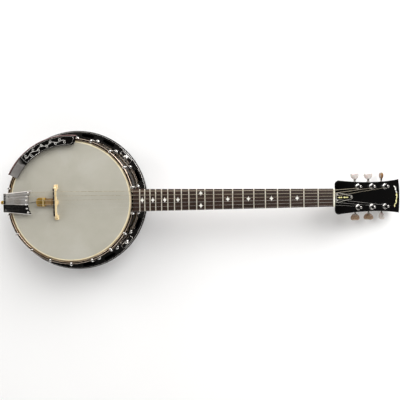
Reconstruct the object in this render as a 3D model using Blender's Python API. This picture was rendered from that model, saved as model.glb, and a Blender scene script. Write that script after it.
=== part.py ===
"""Six-string resonator banjo, lying on its back.

Frame: the origin is the centre of the resonator's flat back face, +X runs along
the neck to the headstock and +Z comes out of the drum head.  Metres throughout.
"""
from math import cos, pi, radians, sin, sqrt, tan

import bmesh
import bpy
from mathutils import Matrix, Vector

# --- driving dimensions -------------------------------------------------------
GAP = 0.0003                      # clearance between neighbouring pieces
SEGMENTS = 60                     # facets round the pot
SHARP_ANGLE = radians(35)         # edges sharper than this are drawn sharp

HEAD_RADIUS = 0.1397              # an 11 inch drum head
HEAD_Z = 0.1100                   # playing surface of the head
RIM_THICKNESS = 0.0190
RIM_BOTTOM_Z = 0.0340
RIM_TOP_Z = 0.0935
TONE_RING_TOP_Z = 0.1090
FLESH_HOOP_Z = (0.0965, 0.1003)
FLESH_HOOP_RADIUS = 0.1445
HOOP_Z = (0.1006, 0.1125)
HOOP_INNER_RADIUS = 0.1412
HOOP_OUTER_RADIUS = 0.1460
FLANGE_Z = (0.0663, 0.0690)
FLANGE_OUTER_RADIUS = 0.1660
RESONATOR_RADIUS = 0.1685
RESONATOR_WALL = 0.0065
RESONATOR_TOP_Z = 0.0660
RESONATOR_FLAT_RADIUS = 0.1200
RESONATOR_FOOT_RADIUS = 0.1605    # the wall draws in towards the back
RESONATOR_FOOT_Z = 0.0180
HEEL_SLOT_HALF_WIDTH = 0.0235     # gap in resonator and flange for the neck's heel

HOOK_ANGLES = (12, 31.5, 51, 70.5, 90, 109.5, 129, 148.5, 168)   # degrees, both sides
HOOK_CIRCLE_RADIUS = 0.1490
HOOK_ROD_RADIUS = 0.0019
CLAW_NOTCH_Z = 0.1093
THUMB_SCREW_ANGLES = (41, 139)    # degrees, both sides
THUMB_SCREW_RADIUS = 0.1560       # circle on which the thumb screws stand
ARMREST_ANGLES = (83, 156)        # degrees, the arc that the armrest covers
ARMREST_FOOT_ANGLES = (99.75, 144.4)
ROD_Z = 0.0560                    # height of the coordinator rod
STUD_RADIUS = 0.0030              # threaded ends of the coordinator rod
STUD_HOLE_RADIUS = 0.0034

SCALE_LENGTH = 0.6477             # 25.5 inches, bridge to nut
BRIDGE_X = -0.0320
NUT_X = BRIDGE_X + SCALE_LENGTH
NUT_THICKNESS = 0.0040
NUT_SEAT_Z = 0.0820
NUT_STANDS = 0.0012               # height of the nut over the board
STRING_CENTRE_Y = -0.0025         # the strings sit a little to one side at the bridge
BRIDGE_TOP_Z = 0.1265
BRIDGE_SKEW = radians(1.5)
STRING_NOTCH = 0.0008             # depth of the strings' notches in the bridge

BOARD_START_X = HOOP_OUTER_RADIUS + 0.0006
BOARD_START_Z = 0.1120
BOARD_THICKNESS = 0.0047
BOARD_WIDTHS = (0.0520, 0.0430)   # at the pot, at the nut
NECK_SLOPE = tan(radians(3))
FRETS = 21
FRET_HEIGHT = 0.0009
FRET_HALF_WIDTH = 0.0012

HEADSTOCK_X = NUT_X + NUT_THICKNESS + GAP
HEADSTOCK_Z = 0.0864
HEADSTOCK_TILT = radians(17)
HEADSTOCK_LENGTH = 0.1850
HEADSTOCK_THICKNESS = 0.0150
SHOULDER_HALF_WIDTH = 0.0420
WAIST_HALF_WIDTH = 0.0360
TIP_HALF_WIDTH = 0.0425
WAIST_S = 0.1000                  # distance of the waist from the nut
CORNER_RADIUS = 0.0120
POST_S = (0.0647, 0.1042, 0.1437) # posts, measured along the headstock
POST_Y = 0.0250
POST_RADIUS = 0.0030
POST_TOP = 0.0120
SHAFT_OFFSET = 0.0065             # the worm shaft sits beside the post, toward the tip
SHAFT_DEPTH = 0.0220              # and this far under the headstock's face
BUTTON_Y = 0.0515
BUTTON_REST_TURNS = {1: (0, -8, 72), -1: (-9, -25, 84)}   # degrees, how each button stands

TAIL_HINGE = (-0.1455, STRING_CENTRE_Y, 0.1172)
TAIL_KNUCKLE_RADIUS = 0.0020
TAIL_PLATE_Z = (0.1195, 0.1217)
TAIL_BACK_X = -0.1480
TAIL_FRONT_X = -0.0830            # tips of the front edge's corners
TAIL_SCALLOP = 0.0080             # depth of the hollow in the front edge
TAIL_HALF_WIDTHS = (0.02175, 0.02850)
THUMB_NUT_Z = 0.1025

STRING_GAUGES = (0.00028, 0.00036, 0.00046, 0.00062, 0.00082, 0.00104)   # treble to bass
BRIDGE_STRING_SPACING = 0.0100
NUT_STRING_SPACING = 0.0072
TAIL_STRING_SPACING = 0.0090


# --- helpers ------------------------------------------------------------------
def clear_scene():
    for old in list(bpy.data.objects):
        bpy.data.objects.remove(old, do_unlink=True)


def make_material(name, colour, roughness, metallic=0.0):
    material = bpy.data.materials.new(name)
    material.use_nodes = True
    shader = material.node_tree.nodes["Principled BSDF"]
    shader.inputs["Base Color"].default_value = (*colour, 1.0)
    shader.inputs["Roughness"].default_value = roughness
    shader.inputs["Metallic"].default_value = metallic
    return material


def shade(mesh):
    """Smooth shading with sharp edges."""
    mesh.shade_smooth()
    mesh.set_sharp_from_angle(angle=SHARP_ANGLE)
    return mesh


def finish_mesh(bm):
    """Turn a bmesh into a mesh whose normals point outward."""
    bmesh.ops.recalc_face_normals(bm, faces=bm.faces)
    mesh = bpy.data.meshes.new("shape")
    bm.to_mesh(mesh)
    bm.free()
    return shade(mesh)


def place(name, mesh, material=None, parent=None):
    piece = bpy.data.objects.new(name, mesh)
    bpy.context.scene.collection.objects.link(piece)
    piece.parent = parent
    if material and not mesh.materials:
        mesh.materials.append(material)
    return piece


def turned(profile, segments=SEGMENTS):
    """Turn a closed (radius, height) profile about Z; a zero radius is a pole."""
    bm = bmesh.new()
    rings = []
    for radius, height in profile:
        if radius == 0:
            rings.append([bm.verts.new((0, 0, height))] * segments)
            continue
        ring = [2 * pi * i / segments for i in range(segments)]
        rings.append([bm.verts.new((radius * cos(a), radius * sin(a), height)) for a in ring])
    for lower, upper in zip(rings, rings[1:] + rings[:1]):
        for i in range(segments):
            j = (i + 1) % segments
            corners = list(dict.fromkeys((lower[i], lower[j], upper[j], upper[i])))
            if len(corners) > 2:
                bm.faces.new(corners)
    return finish_mesh(bm)


def loft(sections):
    """Skin a row of equal-length closed sections and cap both ends."""
    bm = bmesh.new()
    rings = [[bm.verts.new(point) for point in section] for section in sections]
    count = len(rings[0])
    for near, far in zip(rings, rings[1:]):
        for i in range(count):
            j = (i + 1) % count
            bm.faces.new((near[i], near[j], far[j], far[i]))
    bm.faces.new(rings[0])
    bm.faces.new(rings[-1])
    return finish_mesh(bm)


def prism(outline, low, high):
    """Extrude an (x, y) outline from height low to height high."""
    return loft([[(x, y, z) for x, y in outline] for z in (low, high)])


def box(low, high, bevel=0.0):
    bm = bmesh.new()
    bmesh.ops.create_cube(bm, size=1.0)
    size = Vector(high) - Vector(low)
    bmesh.ops.scale(bm, vec=size, verts=bm.verts)
    bmesh.ops.translate(bm, vec=(Vector(low) + Vector(high)) / 2, verts=bm.verts)
    if bevel:
        bmesh.ops.bevel(bm, geom=bm.edges[:], offset=bevel, segments=1, affect="EDGES")
    return finish_mesh(bm)


def rod(start, end, radius, sides=12):
    """A round bar between two points."""
    start, end = Vector(start), Vector(end)
    bm = bmesh.new()
    bmesh.ops.create_cone(bm, cap_ends=True, segments=sides, radius1=radius, radius2=radius,
                          depth=(end - start).length)
    turn = Vector((0, 0, 1)).rotation_difference(end - start).to_matrix().to_4x4()
    bm.transform(Matrix.Translation((start + end) / 2) @ turn)
    return finish_mesh(bm)


def combine(base, others, operation="UNION"):
    """Join meshes to a base mesh, or cut them out of it, with exact Booleans."""
    piece = place("work", base)
    helpers = [place("helper", other) for other in others]
    for helper in helpers:
        step = piece.modifiers.new("step", "BOOLEAN")
        step.operation = operation
        step.object = helper
    evaluated = piece.evaluated_get(bpy.context.evaluated_depsgraph_get())
    mesh = bpy.data.meshes.new_from_object(evaluated)
    for used in [piece] + helpers:
        bpy.data.objects.remove(used, do_unlink=True)
    mesh.materials.clear()
    return shade(mesh)


def cut(base, cutters):
    return combine(base, cutters, "DIFFERENCE")


def moved(mesh, offset=(0, 0, 0), turn_z=0.0):
    """Turn a mesh about Z, then shift it."""
    mesh.transform(Matrix.Translation(offset) @ Matrix.Rotation(turn_z, 4, "Z"))
    return mesh


def put_origin_on(piece, point):
    """Move an object's origin to a point on its joint's axis; the shape stays put."""
    piece.data.transform(Matrix.Translation(-Vector(point)))
    piece.location = point


def both_sides(angles):
    return [side * angle for side in (1, -1) for angle in angles]


# --- curves of the neck ---------------------------------------------------------
def board_top(x):
    return BOARD_START_Z - (x - BOARD_START_X) * NECK_SLOPE


def board_half_width(x):
    along = (x - BOARD_START_X) / (NUT_X - BOARD_START_X)
    return (BOARD_WIDTHS[0] + (BOARD_WIDTHS[1] - BOARD_WIDTHS[0]) * along) / 2


def headstock_half_width(s):
    """Square shoulders with round corners, a waist, and a flared tip."""
    if s < WAIST_S:
        half = WAIST_HALF_WIDTH + (SHOULDER_HALF_WIDTH - WAIST_HALF_WIDTH) * (1 - s / WAIST_S) ** 2
    else:
        flare = (s - WAIST_S) / (HEADSTOCK_LENGTH - WAIST_S)
        half = WAIST_HALF_WIDTH + (TIP_HALF_WIDTH - WAIST_HALF_WIDTH) * flare ** 2.2
    if s < CORNER_RADIUS:
        half -= CORNER_RADIUS - sqrt(CORNER_RADIUS ** 2 - (CORNER_RADIUS - s) ** 2)
    return half


# --- the pot --------------------------------------------------------------------
def make_resonator(material):
    """Bowl with a flat-centred back, arched outside that, and a notch for the heel."""
    wall_in = RESONATOR_RADIUS - RESONATOR_WALL
    foot_in = RESONATOR_FOOT_RADIUS - RESONATOR_WALL
    profile = [
        (0, 0), (RESONATOR_FLAT_RADIUS, 0), (0.1380, 0.0016), (0.1505, 0.0052),
        (0.1572, 0.0105), (RESONATOR_FOOT_RADIUS, RESONATOR_FOOT_Z),
        (RESONATOR_RADIUS, RESONATOR_TOP_Z),
        (wall_in, RESONATOR_TOP_Z), (foot_in, RESONATOR_FOOT_Z), (0.1490, 0.0115),
        (0.1360, 0.0068), (0, 0.0050),
    ]
    notch = box((0.1500, -HEEL_SLOT_HALF_WIDTH, 0.0440), (0.1800, HEEL_SLOT_HALF_WIDTH, 0.0800))
    place("resonator", cut(turned(profile), [notch]), material)


def make_wood_rim(material):
    inner = HEAD_RADIUS - RIM_THICKNESS
    profile = [(HEAD_RADIUS, RIM_BOTTOM_Z), (HEAD_RADIUS, RIM_TOP_Z), (0.1340, RIM_TOP_Z),
               (inner, RIM_TOP_Z), (inner, RIM_BOTTOM_Z)]
    bolt_hole = rod((-0.1600, 0, ROD_Z), (0.1600, 0, ROD_Z), STUD_HOLE_RADIUS)
    place("wood_rim", cut(turned(profile), [bolt_hole]), material)


def make_tone_ring(material):
    """Cast ring that crowns the rim and carries the head."""
    low = RIM_TOP_Z + GAP
    profile = [(HEAD_RADIUS, low), (HEAD_RADIUS, TONE_RING_TOP_Z - 0.002),
               (0.1385, TONE_RING_TOP_Z), (0.1345, TONE_RING_TOP_Z), (0.1290, 0.1010),
               (0.1230, 0.0985), (0.1230, low)]
    place("tone_ring", turned(profile), material)


def make_drum_head(material):
    """Film stretched over the tone ring, crimped into its flesh hoop."""
    skin = 0.0006
    bend_z = HEAD_Z - 0.0030
    hoop_in = HEAD_RADIUS + GAP + 0.0001
    profile = [(0, HEAD_Z), (0.1375, HEAD_Z), (0.1392, HEAD_Z - 0.0008),
               (hoop_in + skin, bend_z), (hoop_in + skin, FLESH_HOOP_Z[1]),
               (FLESH_HOOP_RADIUS, FLESH_HOOP_Z[1]), (FLESH_HOOP_RADIUS, FLESH_HOOP_Z[0]),
               (hoop_in, FLESH_HOOP_Z[0]), (hoop_in, bend_z),
               (0.1386, TONE_RING_TOP_Z + GAP), (0, TONE_RING_TOP_Z + GAP)]
    place("drum_head", turned(profile), material)


def make_tension_hoop(material):
    """Notched stretcher band; each hook's claw lies in one notch."""
    low, high = HOOP_Z
    chamfer, notch_half_width = 0.0008, 0.0030
    profile = [(HOOP_INNER_RADIUS, low), (HOOP_OUTER_RADIUS, low),
               (HOOP_OUTER_RADIUS, high - chamfer), (HOOP_OUTER_RADIUS - chamfer, high),
               (HOOP_INNER_RADIUS, high)]
    notches = []
    for angle in both_sides(HOOK_ANGLES):
        notch = box((0.1380, -notch_half_width, CLAW_NOTCH_Z), (0.1500, notch_half_width, 0.1200))
        notches.append(moved(notch, turn_z=radians(angle)))
    place("tension_hoop", cut(turned(profile), notches), material)


def make_flange(material):
    """Flat plate ring that closes the gap round the rim, with sound slots, hook holes
    and the four thumb screws that clamp the resonator."""
    low, high = FLANGE_Z
    over = 0.01
    slot_in, slot_out, slot_half_length = 0.1540, 0.1610, 0.0150
    head_radius, head_edge_z, head_top_z = 0.0052, high + 0.0040, high + 0.0055
    inner = HEAD_RADIUS + GAP
    ring = turned([(inner, low), (FLANGE_OUTER_RADIUS, low), (FLANGE_OUTER_RADIUS, high),
                   (inner, high)])
    cutters = [box((0.1300, -HEEL_SLOT_HALF_WIDTH, 0.0500), (0.1800, HEEL_SLOT_HALF_WIDTH, 0.0900))]
    for angle in both_sides(HOOK_ANGLES):
        hole = rod((HOOK_CIRCLE_RADIUS, 0, low - over), (HOOK_CIRCLE_RADIUS, 0, high + over),
                   HOOK_ROD_RADIUS + 0.0005, 8)
        cutters.append(moved(hole, turn_z=radians(angle)))
    for first, second in zip(HOOK_ANGLES, HOOK_ANGLES[1:]):
        middle = (first + second) / 2
        if min(abs(middle - screw) for screw in THUMB_SCREW_ANGLES) < 5:
            continue
        for side in (1, -1):
            slot = box((slot_in, -slot_half_length, low - over),
                       (slot_out, slot_half_length, high + over))
            cutters.append(moved(slot, turn_z=radians(side * middle)))
    screws = []
    for angle in both_sides(THUMB_SCREW_ANGLES):
        head = turned([(0, high - 0.001), (head_radius, high - 0.001), (head_radius, head_edge_z),
                       (head_radius - 0.001, head_top_z), (0, head_top_z)], 10)
        stem = rod((0, 0, low - over), (0, 0, high), 0.0022, 8)
        for shape in (head, stem):
            spot = Matrix.Rotation(radians(angle), 4, "Z") @ Vector((THUMB_SCREW_RADIUS, 0, 0))
            screws.append(moved(shape, offset=spot))
    place("flange", combine(cut(ring, cutters), screws), material)


def make_hooks(material):
    """Bracket hooks: claw over the hoop, rod down through the flange, hex nut below."""
    rod_low, rod_high, nut_low = 0.0510, 0.1120, 0.0530
    claw_half_width, nut_radius = 0.0024, 0.0044
    shaft = rod((HOOK_CIRCLE_RADIUS, 0, rod_low), (HOOK_CIRCLE_RADIUS, 0, rod_high), HOOK_ROD_RADIUS, 8)
    claw = box((0.1425, -claw_half_width, CLAW_NOTCH_Z + GAP), (0.1510, claw_half_width, 0.1130))
    nut = rod((HOOK_CIRCLE_RADIUS, 0, nut_low), (HOOK_CIRCLE_RADIUS, 0, FLANGE_Z[0] - GAP), nut_radius, 6)
    mesh = combine(shaft, [claw, nut])
    for number, angle in enumerate(both_sides(HOOK_ANGLES), start=1):
        hook = place(f"hook_{number:02d}", mesh, material)
        hook.rotation_euler.z = radians(angle)


def make_coordinator_rod(material):
    """Stout rod across the pot that ties the neck's heel to the rim."""
    inner = HEAD_RADIUS - RIM_THICKNESS
    bar_half_length, bar_radius, nut_radius = 0.1060, 0.0048, 0.0080
    bar = rod((-bar_half_length, 0, ROD_Z), (bar_half_length, 0, ROD_Z), bar_radius)
    stud = rod((-HEAD_RADIUS + 0.001, 0, ROD_Z), (0.1560, 0, ROD_Z), STUD_RADIUS)
    collars = []
    for side in (1, -1):
        near, far = side * 0.1130, side * (inner - 0.0006)
        collars.append(rod((near, 0, ROD_Z), (far, 0, ROD_Z), nut_radius, 6))
    place("coordinator_rod", combine(bar, [stud] + collars), material)


# --- the neck ---------------------------------------------------------------------
def neck_depth(x):
    """Depth of the neck under the fingerboard: a deep heel that sweeps to a slim shaft."""
    heel_start, heel_end = 0.1500, 0.2150
    heel_depth, shaft_depth, thinning = 0.0600, 0.0195, 0.0040
    slim = shaft_depth - thinning * (x - heel_end) / (NUT_X - heel_end)
    if x >= heel_end:
        return slim
    rise = min(1.0, (heel_end - x) / (heel_end - heel_start))
    return slim + (heel_depth - slim) * rise ** 2 * (3 - 2 * rise)


def neck_section(x, sides=10):
    """A D-shaped section: flat under the board, an ellipse below."""
    top = board_top(x) - BOARD_THICKNESS - GAP
    half, depth = board_half_width(x), neck_depth(x)
    angles = [pi * i / sides for i in range(sides + 1)]
    return [(x, half * cos(a), top - depth * sin(a)) for a in angles]


def headstock_outline():
    edge = [(s, headstock_half_width(s)) for s in (0, 0.0008, 0.0030, 0.0065, 0.0120)]
    steps = 10
    for i in range(1, steps + 1):
        s = CORNER_RADIUS + (HEADSTOCK_LENGTH - CORNER_RADIUS) * i / steps
        edge.append((s, headstock_half_width(s)))
    crown = [(HEADSTOCK_LENGTH + 0.0014, 0.0270), (HEADSTOCK_LENGTH + 0.0024, 0.0100)]
    upper = edge + crown
    return upper + [(s, -y) for s, y in reversed(upper)]


def headstock_frame():
    """Empty at the nut, tilted back: local x runs along the headstock, z off its face."""
    frame = bpy.data.objects.new("headstock_frame", None)
    bpy.context.scene.collection.objects.link(frame)
    frame.location = (HEADSTOCK_X, 0, HEADSTOCK_Z)
    frame.rotation_euler = (0, HEADSTOCK_TILT, 0)
    return frame


def headstock_matrix():
    return (Matrix.Translation((HEADSTOCK_X, 0, HEADSTOCK_Z))
            @ Matrix.Rotation(HEADSTOCK_TILT, 4, "Y"))


def make_neck(material):
    """Heel, shaft and headstock in one piece of wood, drilled for the tuners."""
    heel = [0.1340, 0.1500, 0.1580, 0.1660, 0.1740, 0.1820, 0.1900, 0.1990, 0.2150]
    shaft = loft([neck_section(x) for x in heel + [0.3200, 0.4300, 0.5400, HEADSTOCK_X + 0.0060]])
    head = prism(headstock_outline(), -HEADSTOCK_THICKNESS, 0)
    holes = [rod((s, y, -0.0300), (s, y, 0.0100), 0.0050)
             for s in POST_S for y in (POST_Y, -POST_Y)]
    head = cut(head, holes)
    head.transform(headstock_matrix())
    neck = combine(shaft, [head])
    above = 0.1300
    rim_cut = rod((0, 0, 0.0200), (0, 0, above), HEAD_RADIUS + GAP, SEGMENTS)
    hoop_low = FLESH_HOOP_Z[0] - 0.0006
    hoop_cut = rod((0, 0, hoop_low), (0, 0, above), HOOP_OUTER_RADIUS + 0.0004, SEGMENTS)
    nut_seat = box((NUT_X - GAP, -0.0300, NUT_SEAT_Z), (HEADSTOCK_X, 0.0300, 0.0950))
    stud_hole = rod((0.1300, 0, ROD_Z), (0.1565, 0, ROD_Z), STUD_HOLE_RADIUS)
    channel = truss_rod_box(0.0004)
    place("neck", cut(neck, [rim_cut, hoop_cut, nut_seat, stud_hole, channel]), material)


def truss_rod_box(margin):
    """The truss rod lies along the neck just under the fingerboard."""
    start_x, end_x = 0.1800, HEADSTOCK_X + 0.0130
    rod_side, below_board = 0.0056, 0.0010
    half = rod_side / 2 + margin
    sections = []
    for x in (start_x - margin, end_x + margin):
        high = board_top(x) - BOARD_THICKNESS - below_board + margin * 6
        low = high - rod_side - margin * 7
        sections.append([(x, -half, low), (x, half, low), (x, half, high), (x, -half, high)])
    return loft(sections)


def make_truss_rod(material):
    place("truss_rod", truss_rod_box(0), material)


def make_fingerboard(material):
    """Tapered board with the frets standing on it."""
    crown_start, crown_end = 0.35, 0.65
    stations = [(BOARD_START_X, 0.0)]
    for number in range(FRETS, 0, -1):
        x = NUT_X - SCALE_LENGTH * (1 - 2 ** (-number / 12))
        for share in (0, crown_start, crown_end, 1):
            crown = FRET_HEIGHT if crown_start <= share <= crown_end else 0.0
            stations.append((x + (2 * share - 1) * FRET_HALF_WIDTH, crown))
    stations.append((NUT_X - GAP, 0.0))
    sections = []
    for x, crown in stations:
        half, top = board_half_width(x), board_top(x)
        low = top - BOARD_THICKNESS
        high = top + crown
        sections.append([(x, -half, low), (x, half, low), (x, half, high), (x, -half, high)])
    place("fingerboard", loft(sections), material)


def make_nut(material):
    """Bone block that spaces the strings at the end of the board."""
    half = BOARD_WIDTHS[1] / 2
    low = NUT_SEAT_Z + GAP
    top = board_top(NUT_X) + NUT_STANDS
    block = box((NUT_X, -half, low), (NUT_X + NUT_THICKNESS - GAP, half, top), 0.0006)
    place("nut", block, material)


def make_truss_rod_cover(material, frame):
    """Bell-shaped cover over the truss rod's end."""
    start, length, wide, narrow = 0.0010, 0.0440, 0.0120, 0.0055
    crown, thickness = 0.0035, 0.0018
    side = []
    for i in range(7):
        along = i / 6
        side.append((start + length * along, wide - (wide - narrow) * along ** 1.6))
    outline = side + [(start + length + crown, 0)] + [(s, -y) for s, y in reversed(side)]
    place("truss_rod_cover", prism(outline, GAP, thickness), material, frame)


# --- the tuners -------------------------------------------------------------------
def tuner_housing_mesh(side):
    """Closed gear case under the headstock, sleeve through it, washer and hex nut on top."""
    under = -HEADSTOCK_THICKNESS - GAP
    case = box((-0.0085, -0.0095, under - 0.0122), (0.0115, 0.0095, under), 0.0015)
    sleeve = rod((0, 0, under - 0.002), (0, 0, 0.0020), 0.0046)
    washer = rod((0, 0, GAP), (0, 0, 0.0014), 0.0070, 16)
    hex_nut = rod((0, 0, 0.0008), (0, 0, 0.0050), 0.0060, 6)
    body = combine(case, [sleeve, washer, hex_nut])
    bore = POST_RADIUS + GAP
    post_bore = rod((0, 0, under - 0.0094), (0, 0, 0.0200), bore)
    shaft_bore = rod((SHAFT_OFFSET, -side * 0.0060, -SHAFT_DEPTH),
                     (SHAFT_OFFSET, side * 0.0200, -SHAFT_DEPTH), 0.0023, 8)
    return cut(body, [post_bore, shaft_bore])


def tuner_post_mesh():
    """String post: a waisted capstan that turns in the sleeve."""
    low = -HEADSTOCK_THICKNESS - 0.0090
    waist = 0.0024
    profile = [(0, low), (POST_RADIUS, low), (POST_RADIUS, POST_TOP - 0.0066), (waist, POST_TOP - 0.0054),
               (waist, POST_TOP - 0.0030), (POST_RADIUS, POST_TOP - 0.0018),
               (POST_RADIUS, POST_TOP - 0.0006), (0.0022, POST_TOP), (0, POST_TOP)]
    return turned(profile, 12)


def tuner_button_mesh(side):
    """Kidney-shaped button on the worm shaft; the origin lies on the shaft's axis."""
    bm = bmesh.new()
    bmesh.ops.create_uvsphere(bm, u_segments=12, v_segments=7, radius=1.0)
    half_long, half_wide, half_thick = 0.0110, 0.0084, 0.0042
    flare = 0.18
    bm.transform(Matrix.Diagonal((half_long, half_wide, half_thick, 1.0)))
    for vert in bm.verts:
        vert.co.x *= 1 + flare * vert.co.y * side / half_wide
        vert.co.y += side * (BUTTON_Y - POST_Y)
    blade = finish_mesh(bm)
    shaft = rod((0, -side * 0.0055, 0), (0, side * 0.0220, 0), 0.0020, 8)
    collar = rod((0, side * 0.0150, 0), (0, side * 0.0195, 0), 0.0034, 10)
    return combine(blade, [shaft, collar])


def make_tuners(metal, pearl, frame):
    """Three geared tuners a side; numbers 1 to 3 are on +Y, 4 to 6 on -Y."""
    post_mesh = tuner_post_mesh()
    for side in (1, -1):
        housing_mesh = tuner_housing_mesh(side)
        button_mesh = tuner_button_mesh(side)
        for index, s in enumerate(POST_S):
            number = index + (1 if side == 1 else 4)
            housing = place(f"tuner_{number}_housing", housing_mesh, metal, frame)
            housing.location = (s, side * POST_Y, 0)
            post = place(f"tuner_{number}_post", post_mesh, metal, frame)
            post.location = (s, side * POST_Y, 0)
            button = place(f"tuner_{number}_button", button_mesh, pearl, frame)
            button.location = (s + SHAFT_OFFSET, side * POST_Y, -SHAFT_DEPTH)
            button.rotation_euler = (0, radians(BUTTON_REST_TURNS[side][index]), 0)


# --- strings and their fittings -----------------------------------------------------
def make_bridge(material):
    """Three-footed bridge with a hardwood cap, a little askew on the head."""
    foot_half, top_half, foot_length, middle_foot_half = 0.04075, 0.0320, 0.0100, 0.0035
    foot_thick, top_thick = 0.0042, 0.0018
    low = HEAD_Z + GAP
    high = BRIDGE_TOP_Z - STRING_NOTCH
    arch, arch_centre, arch_half = 0.0070, 0.0175, 0.0120

    def arch_points(centre):
        return [(centre + arch_half * t, low + arch * sqrt(1 - abs(t) ** 2.5))
                for t in (-0.9, -0.4, 0.4, 0.9)]

    lower = [(-foot_half, low), (-foot_half + foot_length, low)]
    lower += arch_points(-arch_centre)
    lower += [(-middle_foot_half, low), (middle_foot_half, low)]
    lower += arch_points(arch_centre)
    lower += [(foot_half - foot_length, low), (foot_half, low)]
    shoulder, shoulder_z, foot_z = top_half + 0.0020, high - 0.0040, low + 0.0035
    upper = [(foot_half, foot_z), (shoulder, shoulder_z), (top_half, high),
             (-top_half, high), (-shoulder, shoulder_z), (-foot_half, foot_z)]
    bm = bmesh.new()
    rings = []
    for side in (-1, 1):
        ring = []
        for y, z in lower + upper:
            along = (z - low) / (high - low)
            half = foot_thick + (top_thick - foot_thick) * along
            ring.append(bm.verts.new((side * half, y, z)))
        rings.append(ring)
    count = len(rings[0])
    for i in range(count):
        j = (i + 1) % count
        bm.faces.new((rings[0][i], rings[0][j], rings[1][j], rings[1][i]))
    bm.faces.new(rings[0])
    bm.faces.new(rings[1])
    bridge = place("bridge", finish_mesh(bm), material)
    bridge.location = (BRIDGE_X, STRING_CENTRE_Y, 0)
    bridge.rotation_euler.z = BRIDGE_SKEW


def make_tailpiece(material):
    """Flared plate with a hollowed front edge and a short flap down its back."""
    back, front = TAIL_HALF_WIDTHS
    edge = []
    steps = 8
    flap_low, flap_thickness = 0.1160, 0.0022
    for i in range(steps + 1):
        across = 2 * i / steps - 1
        edge.append((TAIL_FRONT_X - TAIL_SCALLOP * (1 - across ** 2), front * across))
    outline = [(TAIL_BACK_X, back), (TAIL_BACK_X, -back)] + edge
    plate = prism(outline, *TAIL_PLATE_Z)
    flap = box((TAIL_BACK_X - flap_thickness, -back, flap_low),
               (TAIL_BACK_X + 0.0001, back, TAIL_PLATE_Z[1]), 0.0004)
    mesh = moved(combine(plate, [flap]), offset=(0, STRING_CENTRE_Y, 0))
    put_origin_on(place("tailpiece", mesh, material), TAIL_HINGE)


def make_tailpiece_bracket(material):
    """Strap that stands on the flange outside the hoop and reaches over it to a knuckle
    under the tailpiece, with a stud for the thumb nut."""
    hinge_x, centre_y, hinge_z = TAIL_HINGE
    front = -(HOOP_OUTER_RADIUS + 0.0012)
    back = front - 0.0025
    arm_low, arm_top = HOOP_Z[1] + 0.0006, HOOP_Z[1] + 0.0025
    left, right = centre_y - 0.0070, centre_y + 0.0070
    foot_low, foot_top = FLANGE_Z[1] + GAP, 0.0715
    knuckle_half = 0.0105
    strap = box((back, left, foot_low), (front, right, arm_top))
    arm = box((back, left, arm_low), (hinge_x + 0.0015, right, arm_top))
    post = box((hinge_x - 0.0020, left, arm_low), (hinge_x + 0.0015, right, hinge_z))
    foot = box((back - 0.0070, left, foot_low), (front, right, foot_top))
    knuckle = rod((hinge_x, centre_y - knuckle_half, hinge_z),
                  (hinge_x, centre_y + knuckle_half, hinge_z), TAIL_KNUCKLE_RADIUS)
    stud = rod((front - 0.0010, centre_y, THUMB_NUT_Z), (-0.1645, centre_y, THUMB_NUT_Z), 0.0018, 10)
    place("tailpiece_bracket", combine(strap, [arm, post, foot, knuckle, stud]), material)


def make_tailpiece_nut(material):
    """Round brass thumb nut on the bracket's stud."""
    profile = [(0.0021, 0), (0.0030, 0), (0.0030, 0.0040), (0.0026, 0.0050), (0.0040, 0.0066),
               (0.0044, 0.0090), (0.0038, 0.0115), (0.0020, 0.0132), (0, 0.0136), (0, 0.0120),
               (0.0021, 0.0120)]
    mesh = turned(profile, 10)
    nut = place("tailpiece_nut", mesh, material)
    nut.location = (-0.1530, STRING_CENTRE_Y, THUMB_NUT_Z)
    nut.rotation_euler.y = -pi / 2


def make_armrest(material):
    """Curved plate over the hoop with a turned-down outer edge and two feet."""
    inner, outer = 0.1280, 0.1530
    start, end = [radians(angle) for angle in ARMREST_ANGLES]
    steps = 14
    profile = [(inner, 0.1172), (inner, 0.1192), (0.1480, 0.1205), (0.1515, 0.1196), (outer, 0.1170),
               (outer, 0.1120), (outer - 0.0012, 0.1120), (outer - 0.0020, 0.1165), (0.1490, 0.1180)]
    sections = []
    for i in range(steps + 1):
        angle = start + (end - start) * i / steps
        sections.append([(r * cos(angle), r * sin(angle), z) for r, z in profile])
    feet = []
    low = FLANGE_Z[1] + GAP
    strap_in, strap_out, strap_half = 0.1508, 0.1525, 0.0040
    for angle in ARMREST_FOOT_ANGLES:
        strap = box((strap_in, -strap_half, low), (strap_out, strap_half, 0.1190))
        pad = box((strap_in, -strap_half, low), (strap_out + 0.0020, strap_half, low + 0.0020))
        feet += [moved(shape, turn_z=radians(angle)) for shape in (strap, pad)]
    place("armrest", combine(loft(sections), feet), material)


def make_mute(material):
    """Sliding brass mute behind the bridge, on its pull wire."""
    centre_y = -0.0015
    block_half, jaw_half = 0.0100, 0.0080
    low = HEAD_Z + 0.0012
    wire_z = 0.1145
    block = box((-0.0760, centre_y - block_half, low), (-0.0549, centre_y + block_half, 0.1212), 0.0018)
    jaw = box((-0.0555, centre_y - jaw_half, low + 0.0008), (-0.0376, centre_y + jaw_half, 0.1200), 0.0008)
    wire = rod((-0.1000, centre_y, wire_z), (-0.0750, centre_y, wire_z), 0.0008, 8)
    mesh = combine(block, [jaw, wire])
    put_origin_on(place("mute", mesh, material), (-0.0650, centre_y, wire_z))


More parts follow.
